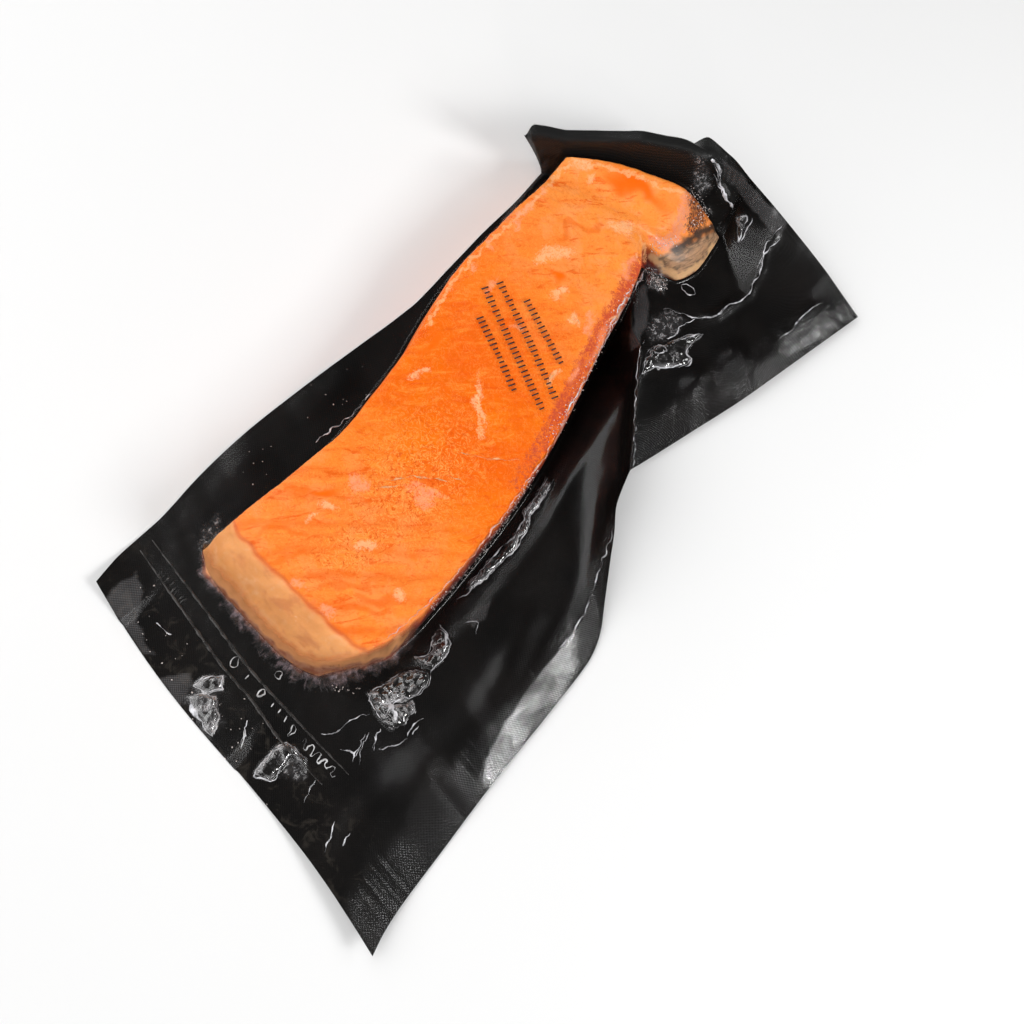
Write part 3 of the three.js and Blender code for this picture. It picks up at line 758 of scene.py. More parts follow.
def film_surfaces():
    """Fine backing film and clear film, and the values that colour each."""
    backing = refine(BACKING, FILM_ROWS, FILM_COLUMNS)
    clear = refine(CLEAR, FILM_ROWS, FILM_COLUMNS)
    clear = clear - grid_normals(clear) * (FILM + CLEARANCE - FINE_FILM_GAP)
    pixels, scale = photo_pixels(clear)
    free = 1 - on_fish()
    uneven = ragged(pixels, clear, *FILM_STRAY)
    folds = fold_relief(pixels, scale) * free
    pockets, border = pocket_relief(uneven, scale)
    margin = film_margin(clear)
    ripple = waves(clear, *LONG_RIPPLE) + SHORT_RIPPLE_SHARE * waves(clear, *SHORT_RIPPLE)
    ripple = RIPPLE * ripple * (1 - MARGIN_CALM * margin)
    knots = KNOT_HEIGHT * np.abs(waves(clear, *KNOT)) + FINE_KNOT_HEIGHT * waves(clear, *FINE_KNOT)
    backing = backing + grid_normals(backing) * (folds + BACKING_RIPPLE * ripple * free)[..., None]
    lift = folds + (ripple + pockets + knots * smoothstep(border, *KNOT_EDGE)) * free
    clear = clear + grid_normals(clear) * lift[..., None]
    backing[..., 2] = np.maximum(backing[..., 2], LOWEST_BACKING)
    clear[..., 2] = np.maximum(clear[..., 2], backing[..., 2].min() + LEAST_GAP)
    fringe, along, wet = fringe_values(ragged(pixels, clear, *FRINGE_STRAY), scale)
    # wall: the share where the black film is painted lighter grey, a painted fill light on the far wall in
    # shade
    black_values = {"blotched": union_of(uneven, scale, [BLOTCHED_PATCH], BLOTCH_EDGE), "wall": far_wall()}
    clear_values = {name: union_of(uneven, scale, patches, soft) for name, patches, soft in FILM_PATCHES}
    clear_values.update({
        "border": border * free + FAR_OUTSIDE * (1 - free), "margin": margin,
        "calm": np.maximum(far_wall(), CALM_ON_FISH * (1 - free)),
        "fringe": fringe, "along": along, "wet": wet,
    })
    return backing, clear, black_values, clear_values


def ragged(pixels, points, reach, size, seed):
    """Pixels strayed by up to about a reach, so that shapes drawn on them get uneven outlines."""
    stray = [waves(points, size, seed + i) + 0.3 * waves(points, 0.4 * size, seed + i + 2) for i in (0, 1)]
    return pixels + reach * np.stack(stray, axis=-1)


def union_of(pixels, scale, polygons, soft):
    """1 inside any of the polygons, with edges as many millimetres soft on either side."""
    return np.max([smoothstep(inside(pixels, polygon) * scale, -soft, soft) for polygon in polygons], axis=0)


def far_wall():
    """Share of the film that stands up behind the fish."""
    last_row, last_column = FIRST_ROW + len(FLESH), FIRST_COLUMN + FLESH.shape[1] - 1
    rows = smoothstep(FILM_ROWS, last_row - 1, last_row)
    return rows[:, None] * (1 - smoothstep(FILM_COLUMNS, last_column - 2, last_column))


def film_margin(grid):
    """Share of embossing on the clear film: full near the right edge of the pouch, and none inside."""
    across = np.linalg.norm(np.diff(grid, axis=1), axis=2)
    before = np.pad(np.cumsum(across, axis=1), ((0, 0), (1, 0)))
    return 1 - smoothstep(before[:, -1:] - before, *MARGIN_END)


def within(keys, first, last):
    """1 between the first and last key, and falling to 0 over one key outside them."""
    return smoothstep(keys, first - 1, first) * (1 - smoothstep(keys, last, last + 1))


def on_fish():
    """Share of the film that lies on the fish, on its fine grid."""
    rows = within(FILM_ROWS, FIRST_ROW, FIRST_ROW + len(FLESH))
    return rows[:, None] * within(FILM_COLUMNS, FIRST_COLUMN, FIRST_COLUMN + FLESH.shape[1] - 1)


# The flesh

# Depth of the grooves, their sharpness, the size and length of the sine that bends them, and their stray
GROOVE_DEPTH = 0.45
GROOVE_POWER = 6
GROOVE_SINE = (1.2, 17)
GROOVE_STRAY = 0.9
# Shares of the width and length at which the grooves begin and end, and the part of it where they weaken
GROOVE_LEFT = (0.04, 0.14)
GROOVE_RIGHT = (0.14, 0.24)
GROOVE_NEAR = (0.06, 0.12)
GROOVE_FAR = (0.14, 0.2)
GROOVE_WEAKENS = (0.15, 0.4)
GROOVE_LOSS = 0.75
# Heights of the skin's noises in millimetres, and how far the pitted skin sits below the solid's
PIT_DEPTH = 0.04
CRINKLE_DEPTH = 0.12
DIMPLE_DEPTH = 0.1
SWELL_DEPTH = 0.2
PIT_SINK = -0.15
# Rows or columns from the rim over which that noise starts, and how far noise moves the marks beside a rim
PITS_START = (0.3, 1.5)
RIM_STRAY = 0.25
LEFT_RIM_STRAY = 0.15
# Where a soft ellipse or band begins to fade and where it is gone, in shares of its radius or half width
BLOB_FADE = (0.2, 1.25)
STROKE_FADE = (0.4, 1.5)
# Millimetres from the near end to the seam, how wide the seam is, and where the near face ends
SEAM_PLACE = 11.2
SEAM_WIDTH = 0.5
NEAR_FACE_END = (10.2, 11.6)
# Columns from the left where the painted shade along its edge ends and where the flesh is seen, and from the
# right where the painted shade at its foot and on its side ends
EDGE_SHADE_END = (0.2, 0.9)
SEEN_START = (1.1, 1.9)
FOOT_SHADE_END = (0.5, 1.5)
SIDE_SHADE_END = (1.1, 3.1)
# Shares of the length where the paler far part starts and the paler near part ends, and how pale that one is
FAR_PALE_START = (0.45, 0.78)
NEAR_PALE_END = (0.2, 0.36)
NEAR_PALE = 0.6
# Rows of pixels over which the painted shade on the flank weakens towards the near end, and by how much
FLANK_SHADE_WEAKENS = (400, 500)
FLANK_SHADE_LOSS = 0.5


def flake_grooves(points, across, along):
    """Grooves between the flakes, as in the solid but finer, deepest towards the near end."""
    reach = points[..., 1] * math.cos(FLAKE_ANGLE) - points[..., 0] * math.sin(FLAKE_ANGLE)
    size, length = GROOVE_SINE
    bend = size * np.sin(points[..., 1] / length) + GROOVE_STRAY * waves(points, *GROOVE_BEND)
    wave = 0.5 + 0.5 * np.cos(2 * math.pi * (reach + bend) / FLAKE_SPACING)
    inner = smoothstep(across, *GROOVE_LEFT) * smoothstep(1 - across, *GROOVE_RIGHT)
    middle = smoothstep(along, *GROOVE_NEAR) * smoothstep(1 - along, *GROOVE_FAR)
    return wave ** GROOVE_POWER * inner * middle * (1 - GROOVE_LOSS * smoothstep(along, *GROOVE_WEAKENS))


def blob(pixels, centre, long_radius, short_radius, degrees):
    """Soft ellipse in the photograph, 1 in its middle; degrees turn it anticlockwise."""
    angle = math.radians(degrees)
    x, y = pixels[..., 0] - centre[0], centre[1] - pixels[..., 1]
    u = (x * math.cos(angle) + y * math.sin(angle)) / long_radius
    v = (y * math.cos(angle) - x * math.sin(angle)) / short_radius
    return 1 - smoothstep(np.hypot(u, v), *BLOB_FADE)


# Soft ellipses on the flesh: centre and radii in pixels, and turn in degrees
BLOBS = {"frost": [
    ((553, 255), 26, 14, 17), ((622, 226), 20, 9, -20), ((592, 177), 10, 6, -30), ((578, 166), 9, 6, 40),
    ((612, 315), 9, 4, 55), ((578, 320), 8, 3, -70), ((553, 378), 8, 5, 45), ((480, 405), 36, 4.5, -83),
    ((330, 503), 15, 6, 0), ((634, 253), 8, 3, 80), ((560, 290), 10, 5, 20), ((402, 598), 12, 8, 20),
    ((420, 375), 12, 5, -30), ((368, 547), 17, 6, 8), ((316, 517), 9, 5, 20),
], "pink": [
    ((527, 210), 15, 8, 30), ((359, 486), 21, 9, 50), ((427, 497), 22, 9, -15), ((600, 342), 30, 8, 62),
    ((577, 372), 18, 5, 75), ((300, 583), 13, 7, -20), ((328, 615), 13, 8, -35), ((590, 325), 14, 7, 50),
    ((626, 272), 10, 6, 60), ((493, 243), 9, 6, 40), ((515, 222), 14, 6, 45), ((476, 267), 9, 5, 30),
    ((492, 287), 13, 8, 50), ((630, 262), 9, 12, 0), ((540, 192), 10, 5, 50), ((517, 328), 8, 5, 20),
], "deep": [
    ((638, 188), 44, 12, -27), ((557, 278), 13, 7, 0), ((430, 345), 16, 7, 50), ((325, 490), 14, 5, 0),
]}
CRINKLE_BLOBS = [((412, 480), 92, 62, 48), ((350, 550), 60, 30, 30)]
# Paths and outlines on the flesh in the photograph; half widths and soft edges are in pixels
FLAKE_HALF_WIDTH = 3.4
LIGHT_HALF_WIDTH = 2.2
FAT_EDGE = (-2, 3)
FLAKE_LINES = paths(
    [286, 489, 306, 488, 328, 492], [259, 530, 278, 532, 300, 534], [273, 557, 288, 555, 303, 553],
    [318, 583, 345, 586, 373, 587], [340, 607, 362, 609, 385, 609], [334, 628, 350, 627, 369, 628],
    [311, 572, 330, 574, 352, 572], [355, 598, 375, 597, 398, 600], [470, 330, 480, 345, 486, 362],
    [513, 398, 515, 410, 514, 424], [455, 350, 457, 358, 461, 364], [560, 232, 580, 226, 603, 228],
)
LIGHT_LINES = paths(
    [574, 160, 600, 165, 640, 177, 664, 189, 684, 192], [477, 384, 479, 410, 481, 438],
    [560, 168, 552, 180, 545, 190], [640, 236, 644, 248, 645, 260],
    [570, 163, 548, 186, 525, 210, 500, 232, 477, 254, 455, 279, 439, 303, 427, 326],
)
BANDS = [
    # Band of painted shade along the right flank, partly the flank's own redder flesh
    ("shaded_flank", path(638, 262, 624, 292, 609, 318, 594, 345, 580, 372, 567, 398, 553, 425, 535, 456,
     516, 486), 9),
    ("speck", path(657, 241, 668, 245, 677, 233, 682, 219, 686, 205, 690, 193), 7),
    ("brown", path(698, 193, 699, 203, 699, 213, 694, 225), 10),
    ("skin", path(676, 250, 690, 240, 702, 232, 716, 227), 5),
    ("rim", path(651, 256, 664, 269, 679, 277, 692, 270, 705, 261, 715, 246), 3),
]
FAT_PATCH = path(
    670, 252, 688, 244, 706, 234, 720, 228, 722, 246, 706, 264, 690, 274, 678, 282, 660, 272, 650, 258
)


def stroke(pixels, line, half_width):
    """Soft band along a path in the photograph, 1 on its line."""
    away, _ = path_distance(pixels, line)
    return 1 - smoothstep(away, *[share * half_width for share in STROKE_FADE])


def blobs_share(pixels, blobs):
    return np.max([blob(pixels, *each) for each in blobs], axis=0)


def strokes_share(pixels, lines, half_width):
    return np.max([stroke(pixels, line, half_width) for line in lines], axis=0)


def rim(grid):
    """Outermost points of a grid, in order round it."""
    return np.concatenate([grid[0], grid[1:, -1], grid[-1, -2::-1], grid[-2:0:-1, 0]])


def from_edges(positions):
    """How far each position is from the nearer end of its row."""
    return np.minimum(positions, positions[-1] - positions)


def flesh_piece():
    """Fine flesh: grooved and pitted top, sloping sides, blunt skirt and one flat underside."""
    rows, columns = fine_index(FLESH, 0, FLESH_CELL), fine_index(FLESH, 1, FLESH_CELL)
    top = refine(FLESH, rows, columns)
    height, width = top.shape[:2]
    grooves = flake_grooves(top, columns / columns[-1], (rows / rows[-1])[:, None])
    free = smoothstep(np.minimum(from_edges(columns), from_edges(rows)[:, None]), *PITS_START)
    pixels, _ = photo_pixels(top)
    crinkle = blobs_share(pixels, CRINKLE_BLOBS)
    pits = (PIT_DEPTH + CRINKLE_DEPTH * crinkle) * waves(top, *PIT)
    pits = pits + DIMPLE_DEPTH * waves(top, *DIMPLE) + SWELL_DEPTH * waves(top, *LONG_SWELL)
    top = top + grid_normals(top) * ((pits + PIT_SINK) * free)[..., None]
    top[..., 2] -= GROOVE_DEPTH * grooves
    under = rim(top)
    under[:, 2] = FISH_BASE
    loop = rim(np.arange(height * width).reshape(height, width))
    lower = height * width + np.arange(len(loop))
    sides = np.stack([lower, np.roll(lower, -1), np.roll(loop, -1), loop], axis=1)
    faces = grid_faces(height, width).tolist() + sides.tolist() + [lower[::-1].tolist()]
    points = np.concatenate([top.reshape(-1, 3), under])
    piece = mesh_piece("salmon_flesh", points, faces, "salmon_flesh", flesh_material())
    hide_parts("salmon_portion")
    # The grooves' share also colours them darker orange: painted shade in the grooves
    values = flesh_values(pixels, top, rows, columns) | {"groove_shade": grooves, "crinkle": crinkle}
    no_value = np.zeros(len(loop))
    spread = {name: np.broadcast_to(value, (height, width)).ravel() for name, value in values.items()}
    set_values(piece, {name: np.concatenate([value, no_value]) for name, value in spread.items()})


def flesh_values(pixels, top, rows, columns):
    """Where the flesh has its near face, seam, painted shade on its sides, foot and flank, frost and other
    colours, from 0 to 1.
    """
    from_near = preserving(np.arange(len(FLESH)), np.array(fish_rows())[:, None] * FISH_LENGTH)(rows)
    wobble = waves(top, *RIM_WOBBLE)
    uneven, frayed = ragged(pixels, top, *PATCH_STRAY), ragged(pixels, top, *LINE_STRAY)
    from_near = from_near + RIM_STRAY * wobble
    from_right = columns[-1] - columns + RIM_STRAY * wobble
    from_left = columns + LEFT_RIM_STRAY * wobble
    near = 1 - smoothstep(from_near, *NEAR_FACE_END)
    seen = smoothstep(from_left, *SEEN_START)
    along = (rows / rows[-1])[:, None]
    near_pale = NEAR_PALE * (1 - smoothstep(along, *NEAR_PALE_END))
    values = {name: stroke(frayed, line, half_width) for name, line, half_width in BANDS}
    # The painted shade on the flank weakens towards the near end
    values["shaded_flank"] *= 1 - FLANK_SHADE_LOSS * smoothstep(pixels[..., 1], *FLANK_SHADE_WEAKENS)
    values.update((name, blobs_share(uneven, blobs) * seen) for name, blobs in BLOBS.items())
    return values | {
        "pale": np.maximum(smoothstep(along, *FAR_PALE_START), near_pale), "near": near,
        "seam": np.exp(-((from_near - SEAM_PLACE) / SEAM_WIDTH) ** 2),
        # Painted shade: dark at the foot of the right side, darker red on that side (partly its own redder
        # flesh), and orange-brown along the left edge
        "foot": (1 - smoothstep(from_right, *FOOT_SHADE_END)) * (1 - near),
        "side": (1 - smoothstep(from_right, *SIDE_SHADE_END)) * (1 - near),
        "edge": (1 - smoothstep(from_left, *EDGE_SHADE_END)) * (1 - near),
        "line": strokes_share(uneven, FLAKE_LINES, FLAKE_HALF_WIDTH),
        "glint": strokes_share(frayed, LIGHT_LINES, LIGHT_HALF_WIDTH),
        "fat": smoothstep(inside(pixels, FAT_PATCH), *FAT_EDGE),
    }


# Small pieces laid on the film

# Longest step of a bead along its path in mm, and the fewest points in a bead
LONGEST_STEP = 2.5
SHORTEST_RUN = 3
# Flat sides of a bead, how deep its foot is sunk and how far it stands clear in mm, and its stray in pixels
BEAD_SIDES = 5
BEAD_SINK = 0.1
BEAD_CLEARANCE = 0.02
BEAD_STRAY = 1.6
# Part of a half turn that a bead's taper follows, the mean share of its full size, and how that varies
TAPER_SPAN = (0.03, 0.97)
BEAD_SHARE = 0.62
BEAD_GRAIN_SHARE = 0.6
BEAD_SHARE_LIMITS = (0.12, 1.2)
# Half width and height of the beads in mm
CREASE_SIZE = (0.27, 0.2)
WIDE_CREASE_SIZE = (1.0, 0.3)
FISH_CREASE_SIZE = (0.4, 0.2)
EDGE_SIZE = (0.3, 0.25)
SEAL_SIZE = (0.9, 0.3)
TOOTH_SIZE = (0.4, 0.3)
RING_SIZE = (0.3, 0.25)
DASH_SIZE = (0.4, 0.25)
WAVE_SIZE = (0.3, 0.2)


def surface_of(grid):
    """Tree of the faces of a grid, for finding the surface behind a pixel."""
    return BVHTree.FromPolygons(grid.reshape(-1, 3).tolist(), grid_faces(*grid.shape[:2]).tolist())


def on_surface(tree, pixel):
    """Place and outward normal of the surface behind a pixel, or nothing."""
    place, normal, _, _ = tree.ray_cast(Vector(CAMERA_PLACE), Vector(pixel_ray(pixel)))
    if place is None:
        return None
    normal = np.array(normal)
    return np.array(place), normal if normal @ VIEW < 0 else -normal


def resample(line, step):
    """Points of a smooth curve through a path, about a step of pixels apart."""
    points = np.array(line, float)
    lengths = np.linalg.norm(np.diff(points, axis=0), axis=1)
    before = np.concatenate([[0], np.cumsum(lengths)])
    wanted = np.linspace(0, before[-1], max(3, int(before[-1] / step) + 1))
    return preserving(before, points)(wanted)


def runs_on(tree, pixels):
    """Stretches of a path on a surface, cut where the surface drops away under it."""
    found = [on_surface(tree, pixel) for pixel in pixels]
    found = [hit for hit in found if hit is not None]
    steps = [np.linalg.norm(b[0] - a[0]) for a, b in zip(found, found[1:])]
    cuts = [0] + [i + 1 for i, length in enumerate(steps) if length > LONGEST_STEP] + [len(found)]
    return [found[a:b] for a, b in zip(cuts, cuts[1:]) if b - a >= SHORTEST_RUN]


def bead_taper(places, uneven):
    """Share of its full size that a bead has along its run: none at its ends, uneven between them."""
    share = np.sqrt(np.clip(np.sin(math.pi * np.linspace(*TAPER_SPAN, len(places))), 0, 1))
    swell = waves(places, *BEAD_SWELL) + BEAD_GRAIN_SHARE * waves(places, *BEAD_GRAIN)
    return (share * np.clip(BEAD_SHARE + uneven * swell, *BEAD_SHARE_LIMITS))[:, None]


def bead(run, half_width, height, uneven):
    places, normals = [np.array(column) for column in zip(*run)]
    normals = unit(normals)
    side = unit(np.cross(unit(np.gradient(places, axis=0)), normals))
    taper = bead_taper(places, uneven)
    rings = []
    for angle in np.linspace(0, math.pi, BEAD_SIDES + 1):
        out = side * math.cos(angle) * half_width * taper
        rings.append(places + out + normals * (math.sin(angle) * height * taper + BEAD_CLEARANCE))
    rings.append(places - normals * BEAD_SINK)
    count = len(rings)
    around = np.arange(count)
    ahead = np.roll(around, -1)
    faces = []
    for start in range(0, (len(places) - 1) * count, count):
        faces += (start + np.stack([around, ahead, ahead + count, around + count], axis=1)).tolist()
    faces.append(around[::-1].tolist())
    faces.append(((len(places) - 1) * count + around).tolist())
    return np.stack(rings, axis=1).reshape(-1, 3), faces


def joined(parts):
    """Points and faces of several meshes as one."""
    points, faces, start = [], [], 0
    for part_points, part_faces in parts:
        points.append(part_points)
        faces += [[index + start for index in face] for face in part_faces]
        start += len(part_points)
    return np.concatenate(points), faces


def ridge(tree, line, size, step=2.0, uneven=0.55):
    """Thin raised beads that follow a path on a surface and die out at both ends."""
    pixels = resample(line, step)
    runs = runs_on(tree, ragged(pixels, pixels, BEAD_STRAY * uneven, 11, 61))
    return joined([bead(run, *size, uneven) for run in runs])


def ring_path(centre, long_radius, short_radius, degrees):
    """Closed ellipse in the photograph, turned anticlockwise."""
    angle = math.radians(degrees)
    turn = np.linspace(0, 2 * math.pi, 15)
    u, v = long_radius * np.cos(turn), short_radius * np.sin(turn)
    x = centre[0] + u * math.cos(angle) + v * math.sin(angle)
    y = centre[1] - u * math.sin(angle) + v * math.cos(angle)
    return np.stack([x, y], axis=1)


CRYSTAL = np.array([[1, 0, 0], [-1, 0, 0], [0, 1, 0], [0, -1, 0], [0, 0, 1], [0, 0, -1]], float)
CRYSTAL_FACES = [[0, 2, 4], [2, 1, 4], [1, 3, 4], [3, 0, 4], [2, 0, 5], [1, 2, 5], [3, 1, 5], [0, 3, 5]]
# Sizes of the crystals in mm, how far they stand out in shares of that, and their other two widths
CRYSTAL_SIZES = (0.14, 0.4)
CRYSTAL_LIFT = 0.3
CRYSTAL_MIDDLE = (0.5, 1)
CRYSTAL_THIN = (0.4, 0.8)
# Path in the photograph, number of ice crystals along it, and how many pixels they spread beside it
CRYSTAL_LINES = [
    (path(640, 276, 617, 314, 591, 366, 567, 409, 548, 446), 200, 6.0),
    (path(538, 470, 518, 500, 498, 530, 476, 560, 450, 590, 428, 610), 240, 3.0),
    (path(690, 192, 700, 205, 704, 218, 690, 226), 110, 7.0),
    (path(655, 250, 664, 244, 674, 240), 80, 8.0),
    (path(650, 272, 658, 282, 664, 288), 90, 5.0),
    (path(333, 688, 350, 692, 360, 690), 20, 5.0),
    (path(130, 600, 200, 700, 300, 810), 50, 40.0),
    (path(240, 480, 300, 430, 360, 370), 20, 30.0),
]


def crystal_parts(tree, draw):
    parts = []
    for line, count, spread in CRYSTAL_LINES:
        pixels = resample(line, 1.0)
        for _ in range(count):
            pixel = pixels[draw.integers(len(pixels))] + draw.normal(0, spread / 2, 2)
            hit = on_surface(tree, pixel)
            size = draw.uniform(*CRYSTAL_SIZES)
            turn = np.array(Matrix.Rotation(draw.uniform(0, 3), 3, draw.normal(0, 1, 3).tolist()))
            if hit is not None:
                stretch = np.array([1.0, draw.uniform(*CRYSTAL_MIDDLE), draw.uniform(*CRYSTAL_THIN)])
                points = (CRYSTAL * stretch) @ turn.T * size
                parts.append((points + hit[0] + hit[1] * size * CRYSTAL_LIFT, CRYSTAL_FACES))
    return parts


# Path of each row of print and its number of ticks, and the size of a tick in mm
PRINT_ROWS = [
    (path(480, 318, 497, 352, 514, 390), 17), (path(485, 288, 511, 343, 542, 409), 27),
    (path(500, 283, 527, 336, 555, 398), 26), (path(527, 301, 543, 330, 561, 363), 15),
]
TICK_LENGTHS = [2.0, 2.8, 2.8]
TICK_WIDTH = 0.55
TICK_TOP = 0.08
TICK_DEPTH = 0.06
TICK_FACES = [[0, 1, 2, 3], [7, 6, 5, 4], [0, 4, 5, 1], [1, 5, 6, 2], [2, 6, 7, 3], [3, 7, 4, 0]]


def tick(place, normal, along, length):
    """One flat dash on a surface."""
    across = unit(np.cross(normal, along)) * length / 2
    along = along * TICK_WIDTH / 2
    corners = [-across - along, across - along, across + along, along - across]
    upper = place + normal * TICK_TOP + np.array(corners)
    return np.concatenate([upper, upper - normal * TICK_DEPTH]), TICK_FACES


def print_parts(tree, draw):
    parts = []
    for line, count in PRINT_ROWS:
        pixels = resample(line, 0.5)
        for i in range(count):
            index = int(i / (count - 1) * (len(pixels) - 2))
            here, there = on_surface(tree, pixels[index]), on_surface(tree, pixels[index + 1])
            parts.append(tick(*here, unit(there[0] - here[0]), draw.choice(TICK_LENGTHS)))
    return parts


# Materials

class Wire:
    """Output of a node; arithmetic on it adds the node that does it."""

    def __init__(self, nodes, socket):
        self.nodes = nodes
        self.socket = socket

    def maths(self, operation, other=0.0, clamp=False):
        return self.nodes.add("Math", {0: self, 1: other}, operation=operation, use_clamp=clamp)

    def __add__(self, other):
        return self.maths("ADD", other)

    def __sub__(self, other):
        return self.maths("SUBTRACT", other)

    def __mul__(self, other):
        return self.maths("MULTIPLY", other)

    def ramp(self, low, high, to_low=0.0, to_high=1.0):
        """Smooth change from to_low to to_high as this value goes from low to high."""
        inputs = {"Value": self, "From Min": low, "From Max": high, "To Min": to_low, "To Max": to_high}
        return self.nodes.add("MapRange", inputs, interpolation_type="SMOOTHSTEP")


class Nodes:
    """Nodes of one new material."""

    def __init__(self, name):
        self.material = bpy.data.materials.new(name)
        self.material.use_nodes = True
        self.tree = self.material.node_tree
        self.tree.nodes.clear()
        self.places = self.add("TexCoord", {}, "Object")

    def add(self, kind, inputs, output=0, **settings):
        """Output of a new node; an input that is a wire is linked, and any other is set on the node."""
        made = self.tree.nodes.new("ShaderNode" + kind)
        for name, value in settings.items():
            setattr(made, name, value)
        for name, value in inputs.items():
            if isinstance(value, Wire):
                self.tree.links.new(value.socket, made.inputs[name])
            else:
                made.inputs[name].default_value = value
        return Wire(self, made.outputs[output])

    def value(self, name):
        return self.add("Attribute", {}, "Fac", attribute_name=name)

    def noise(self, per_metre, detail=4.0, roughness=0.55, distortion=0.0, places=None):
        return self.add("TexNoise", {
            "Vector": places or self.places, "Scale": per_metre, "Detail": detail, "Roughness": roughness,
            "Distortion": distortion,
        })

    def streaks(self, degrees, per_metre, roughness, distortion):
        """Noise drawn out along a heading."""
        inputs = {"Vector": self.places, "Rotation": (0, 0, math.radians(degrees)), "Scale": STREAK_STRETCH}
        drawn_out = self.add("Mapping", inputs, vector_type="TEXTURE")
        return self.noise(per_metre, 5, roughness, distortion, drawn_out)

    def contour(self, noise, half_width):
        """1 along the curves where a noise passes its middle value."""
        return (noise - 0.5).maths("ABSOLUTE").ramp(half_width, 2 * half_width, 1.0, 0.0)

    def bump(self, height, distance, strength=1.0, normal=None):
        inputs = {"Height": height, "Distance": distance, "Strength": strength}
        if normal is not None:
            inputs["Normal"] = normal
        return self.add("Bump", inputs)

    def mix(self, factor, a, b):
        return self.add("Mix", {0: factor, 6: a, 7: b}, 2, data_type="RGBA")

    def two_tone(self, noise, low, high, first, second):
        """Colour that goes from the first tint to the second as a noise goes from low to high."""
        return self.mix(noise.ramp(low, high), colour(*first), colour(*second))

    def over(self, base, layers):
        """A colour with tints laid over it, each by its own share."""
        for share, tint in layers:
            base = self.mix(share, base, colour(*tint))
        return base

    def principled(self, inputs):
        return self.add("BsdfPrincipled", inputs)

    def surfaced(self, shader):
        """The material, with this shader as its surface."""
        output = self.tree.nodes.new("ShaderNodeOutputMaterial")
        self.tree.links.new(shader.socket, output.inputs["Surface"])
        return self.material


def colour(*parts):
    """Linear colour of an sRGB one given from 0 to 255."""
    shares = [part / 255 for part in parts]
    linear = [s / 12.92 if s <= 0.04045 else ((s + 0.055) / 1.055) ** 2.4 for s in shares]
    return (*linear, 1.0)


# Pitch of the embossing in millimetres, its depth in metres, and how far flesh noise is drawn out
EMBOSS_PITCH = 0.95
EMBOSS_DEPTH = 0.00004
STREAK_STRETCH = (4, 1, 1)


def emboss_height(nodes):
    """Crossing rows of small dimples over the flat film, from -1 to 1."""
    split = nodes.add("SeparateXYZ", {0: nodes.add("UVMap", {}, uv_map="film")})
    across, along = [Wire(nodes, output) for output in split.socket.node.outputs[:2]]
    turn = 2 * math.pi / EMBOSS_PITCH
    return (across * turn).maths("SINE") * (along * turn).maths("SINE")


def black_film_material():
    nodes = Nodes("black_film")
    smudge = nodes.noise(40, 5)
    blotches = nodes.noise(170, 5, 0.7, 0.8).ramp(0.52, 0.66, 0.0, 0.7)
    base = nodes.two_tone(smudge, 0.35, 0.7, (6, 5, 5), (15, 12, 11))
    base = nodes.over(base, [
        # The far wall is painted lighter grey: painted fill light on film that stands in shade
        (blotches * nodes.value("blotched"), (46, 42, 38)), (nodes.value("wall"), (30, 30, 30)),
    ])
    embossed = nodes.bump(emboss_height(nodes), EMBOSS_DEPTH)
    return nodes.surfaced(nodes.principled({
        "Base Color": base, "Roughness": smudge.ramp(0.3, 0.7, 0.3, 0.42), "Specular IOR Level": 0.06,
        "Normal": nodes.bump(nodes.noise(700, 3), 0.0001, 0.5, embossed),
    }))


def crumple_highlights_and_haze(nodes):
    """Painted highlights where the film is crumpled: pale outlines, an inner glow and wrinkle lines; painted
    highlight speckles in their own patches; and an even haze, partly the film's own milkiness and partly
    painted sheen.
    """
    border = nodes.value("border")
    strayed = border + nodes.noise(500, 3).ramp(0.3, 0.7, -0.3, 0.3)
    uneven = nodes.noise(150, 3).ramp(0.42, 0.62, 0.08, 1.0)
    # Painted highlights: pale outlines of the pockets and channels, a glow inside them and wrinkle lines
    outline_highlight = strayed.maths("ABSOLUTE").ramp(0.02, 0.26, 0.85, 0.0) * uneven
    inner = strayed.ramp(0.0, 0.3)
    glow = inner * border.ramp(0.0, 2.0, 0.3, 0.0) * uneven * uneven
    wrinkle_highlight = nodes.contour(nodes.noise(420, 4, 0.65, 1.2), 0.014)
    parts = nodes.noise(190, 3).ramp(0.5, 0.62, 0.0, 0.5)
    dull = nodes.noise(600, 4, 0.7).ramp(0.5, 0.8, 0.0, 0.06)
    crumple_highlight = (inner * (wrinkle_highlight * parts + dull)).maths("ADD", outline_highlight + glow, clamp=True)
    # Speckled painted highlights in their patches
    highlight_speckles = nodes.noise(600, 5, 0.75, 0.6).ramp(0.5, 0.72, 0.03, 0.8)
    # Haze: partly the film's own milkiness, partly painted sheen that the embossing patterns
    hatch = emboss_height(nodes).ramp(-0.3, 0.5, 0.5, 1.6)
    haze_and_sheen = nodes.value("haze_and_sheen") * hatch * nodes.noise(90).ramp(0.3, 0.7, 0.05, 0.08)
    return crumple_highlight.maths("MAXIMUM", nodes.value("speckled_highlight") * highlight_speckles).maths("MAXIMUM", haze_and_sheen)


def juice_share(nodes, fringe):
    """Hair-like streaks of frozen juice that reach out from the near foot."""
    strand = nodes.add("CombineXYZ", {0: nodes.value("along") * 1.1, 1: fringe * 1.6})
    hair = nodes.noise(1.0, 6, 0.75, 1.2, strand)
    grown = fringe + (hair * 1.2 + nodes.noise(260, 4) - 1.1) * 1.3
    whole = fringe.ramp(0.85, 1.1, 0.62, 0.95)
    return grown.ramp(0.3, 1.0) * fringe.ramp(0.0, 0.3) * whole * nodes.value("wet")


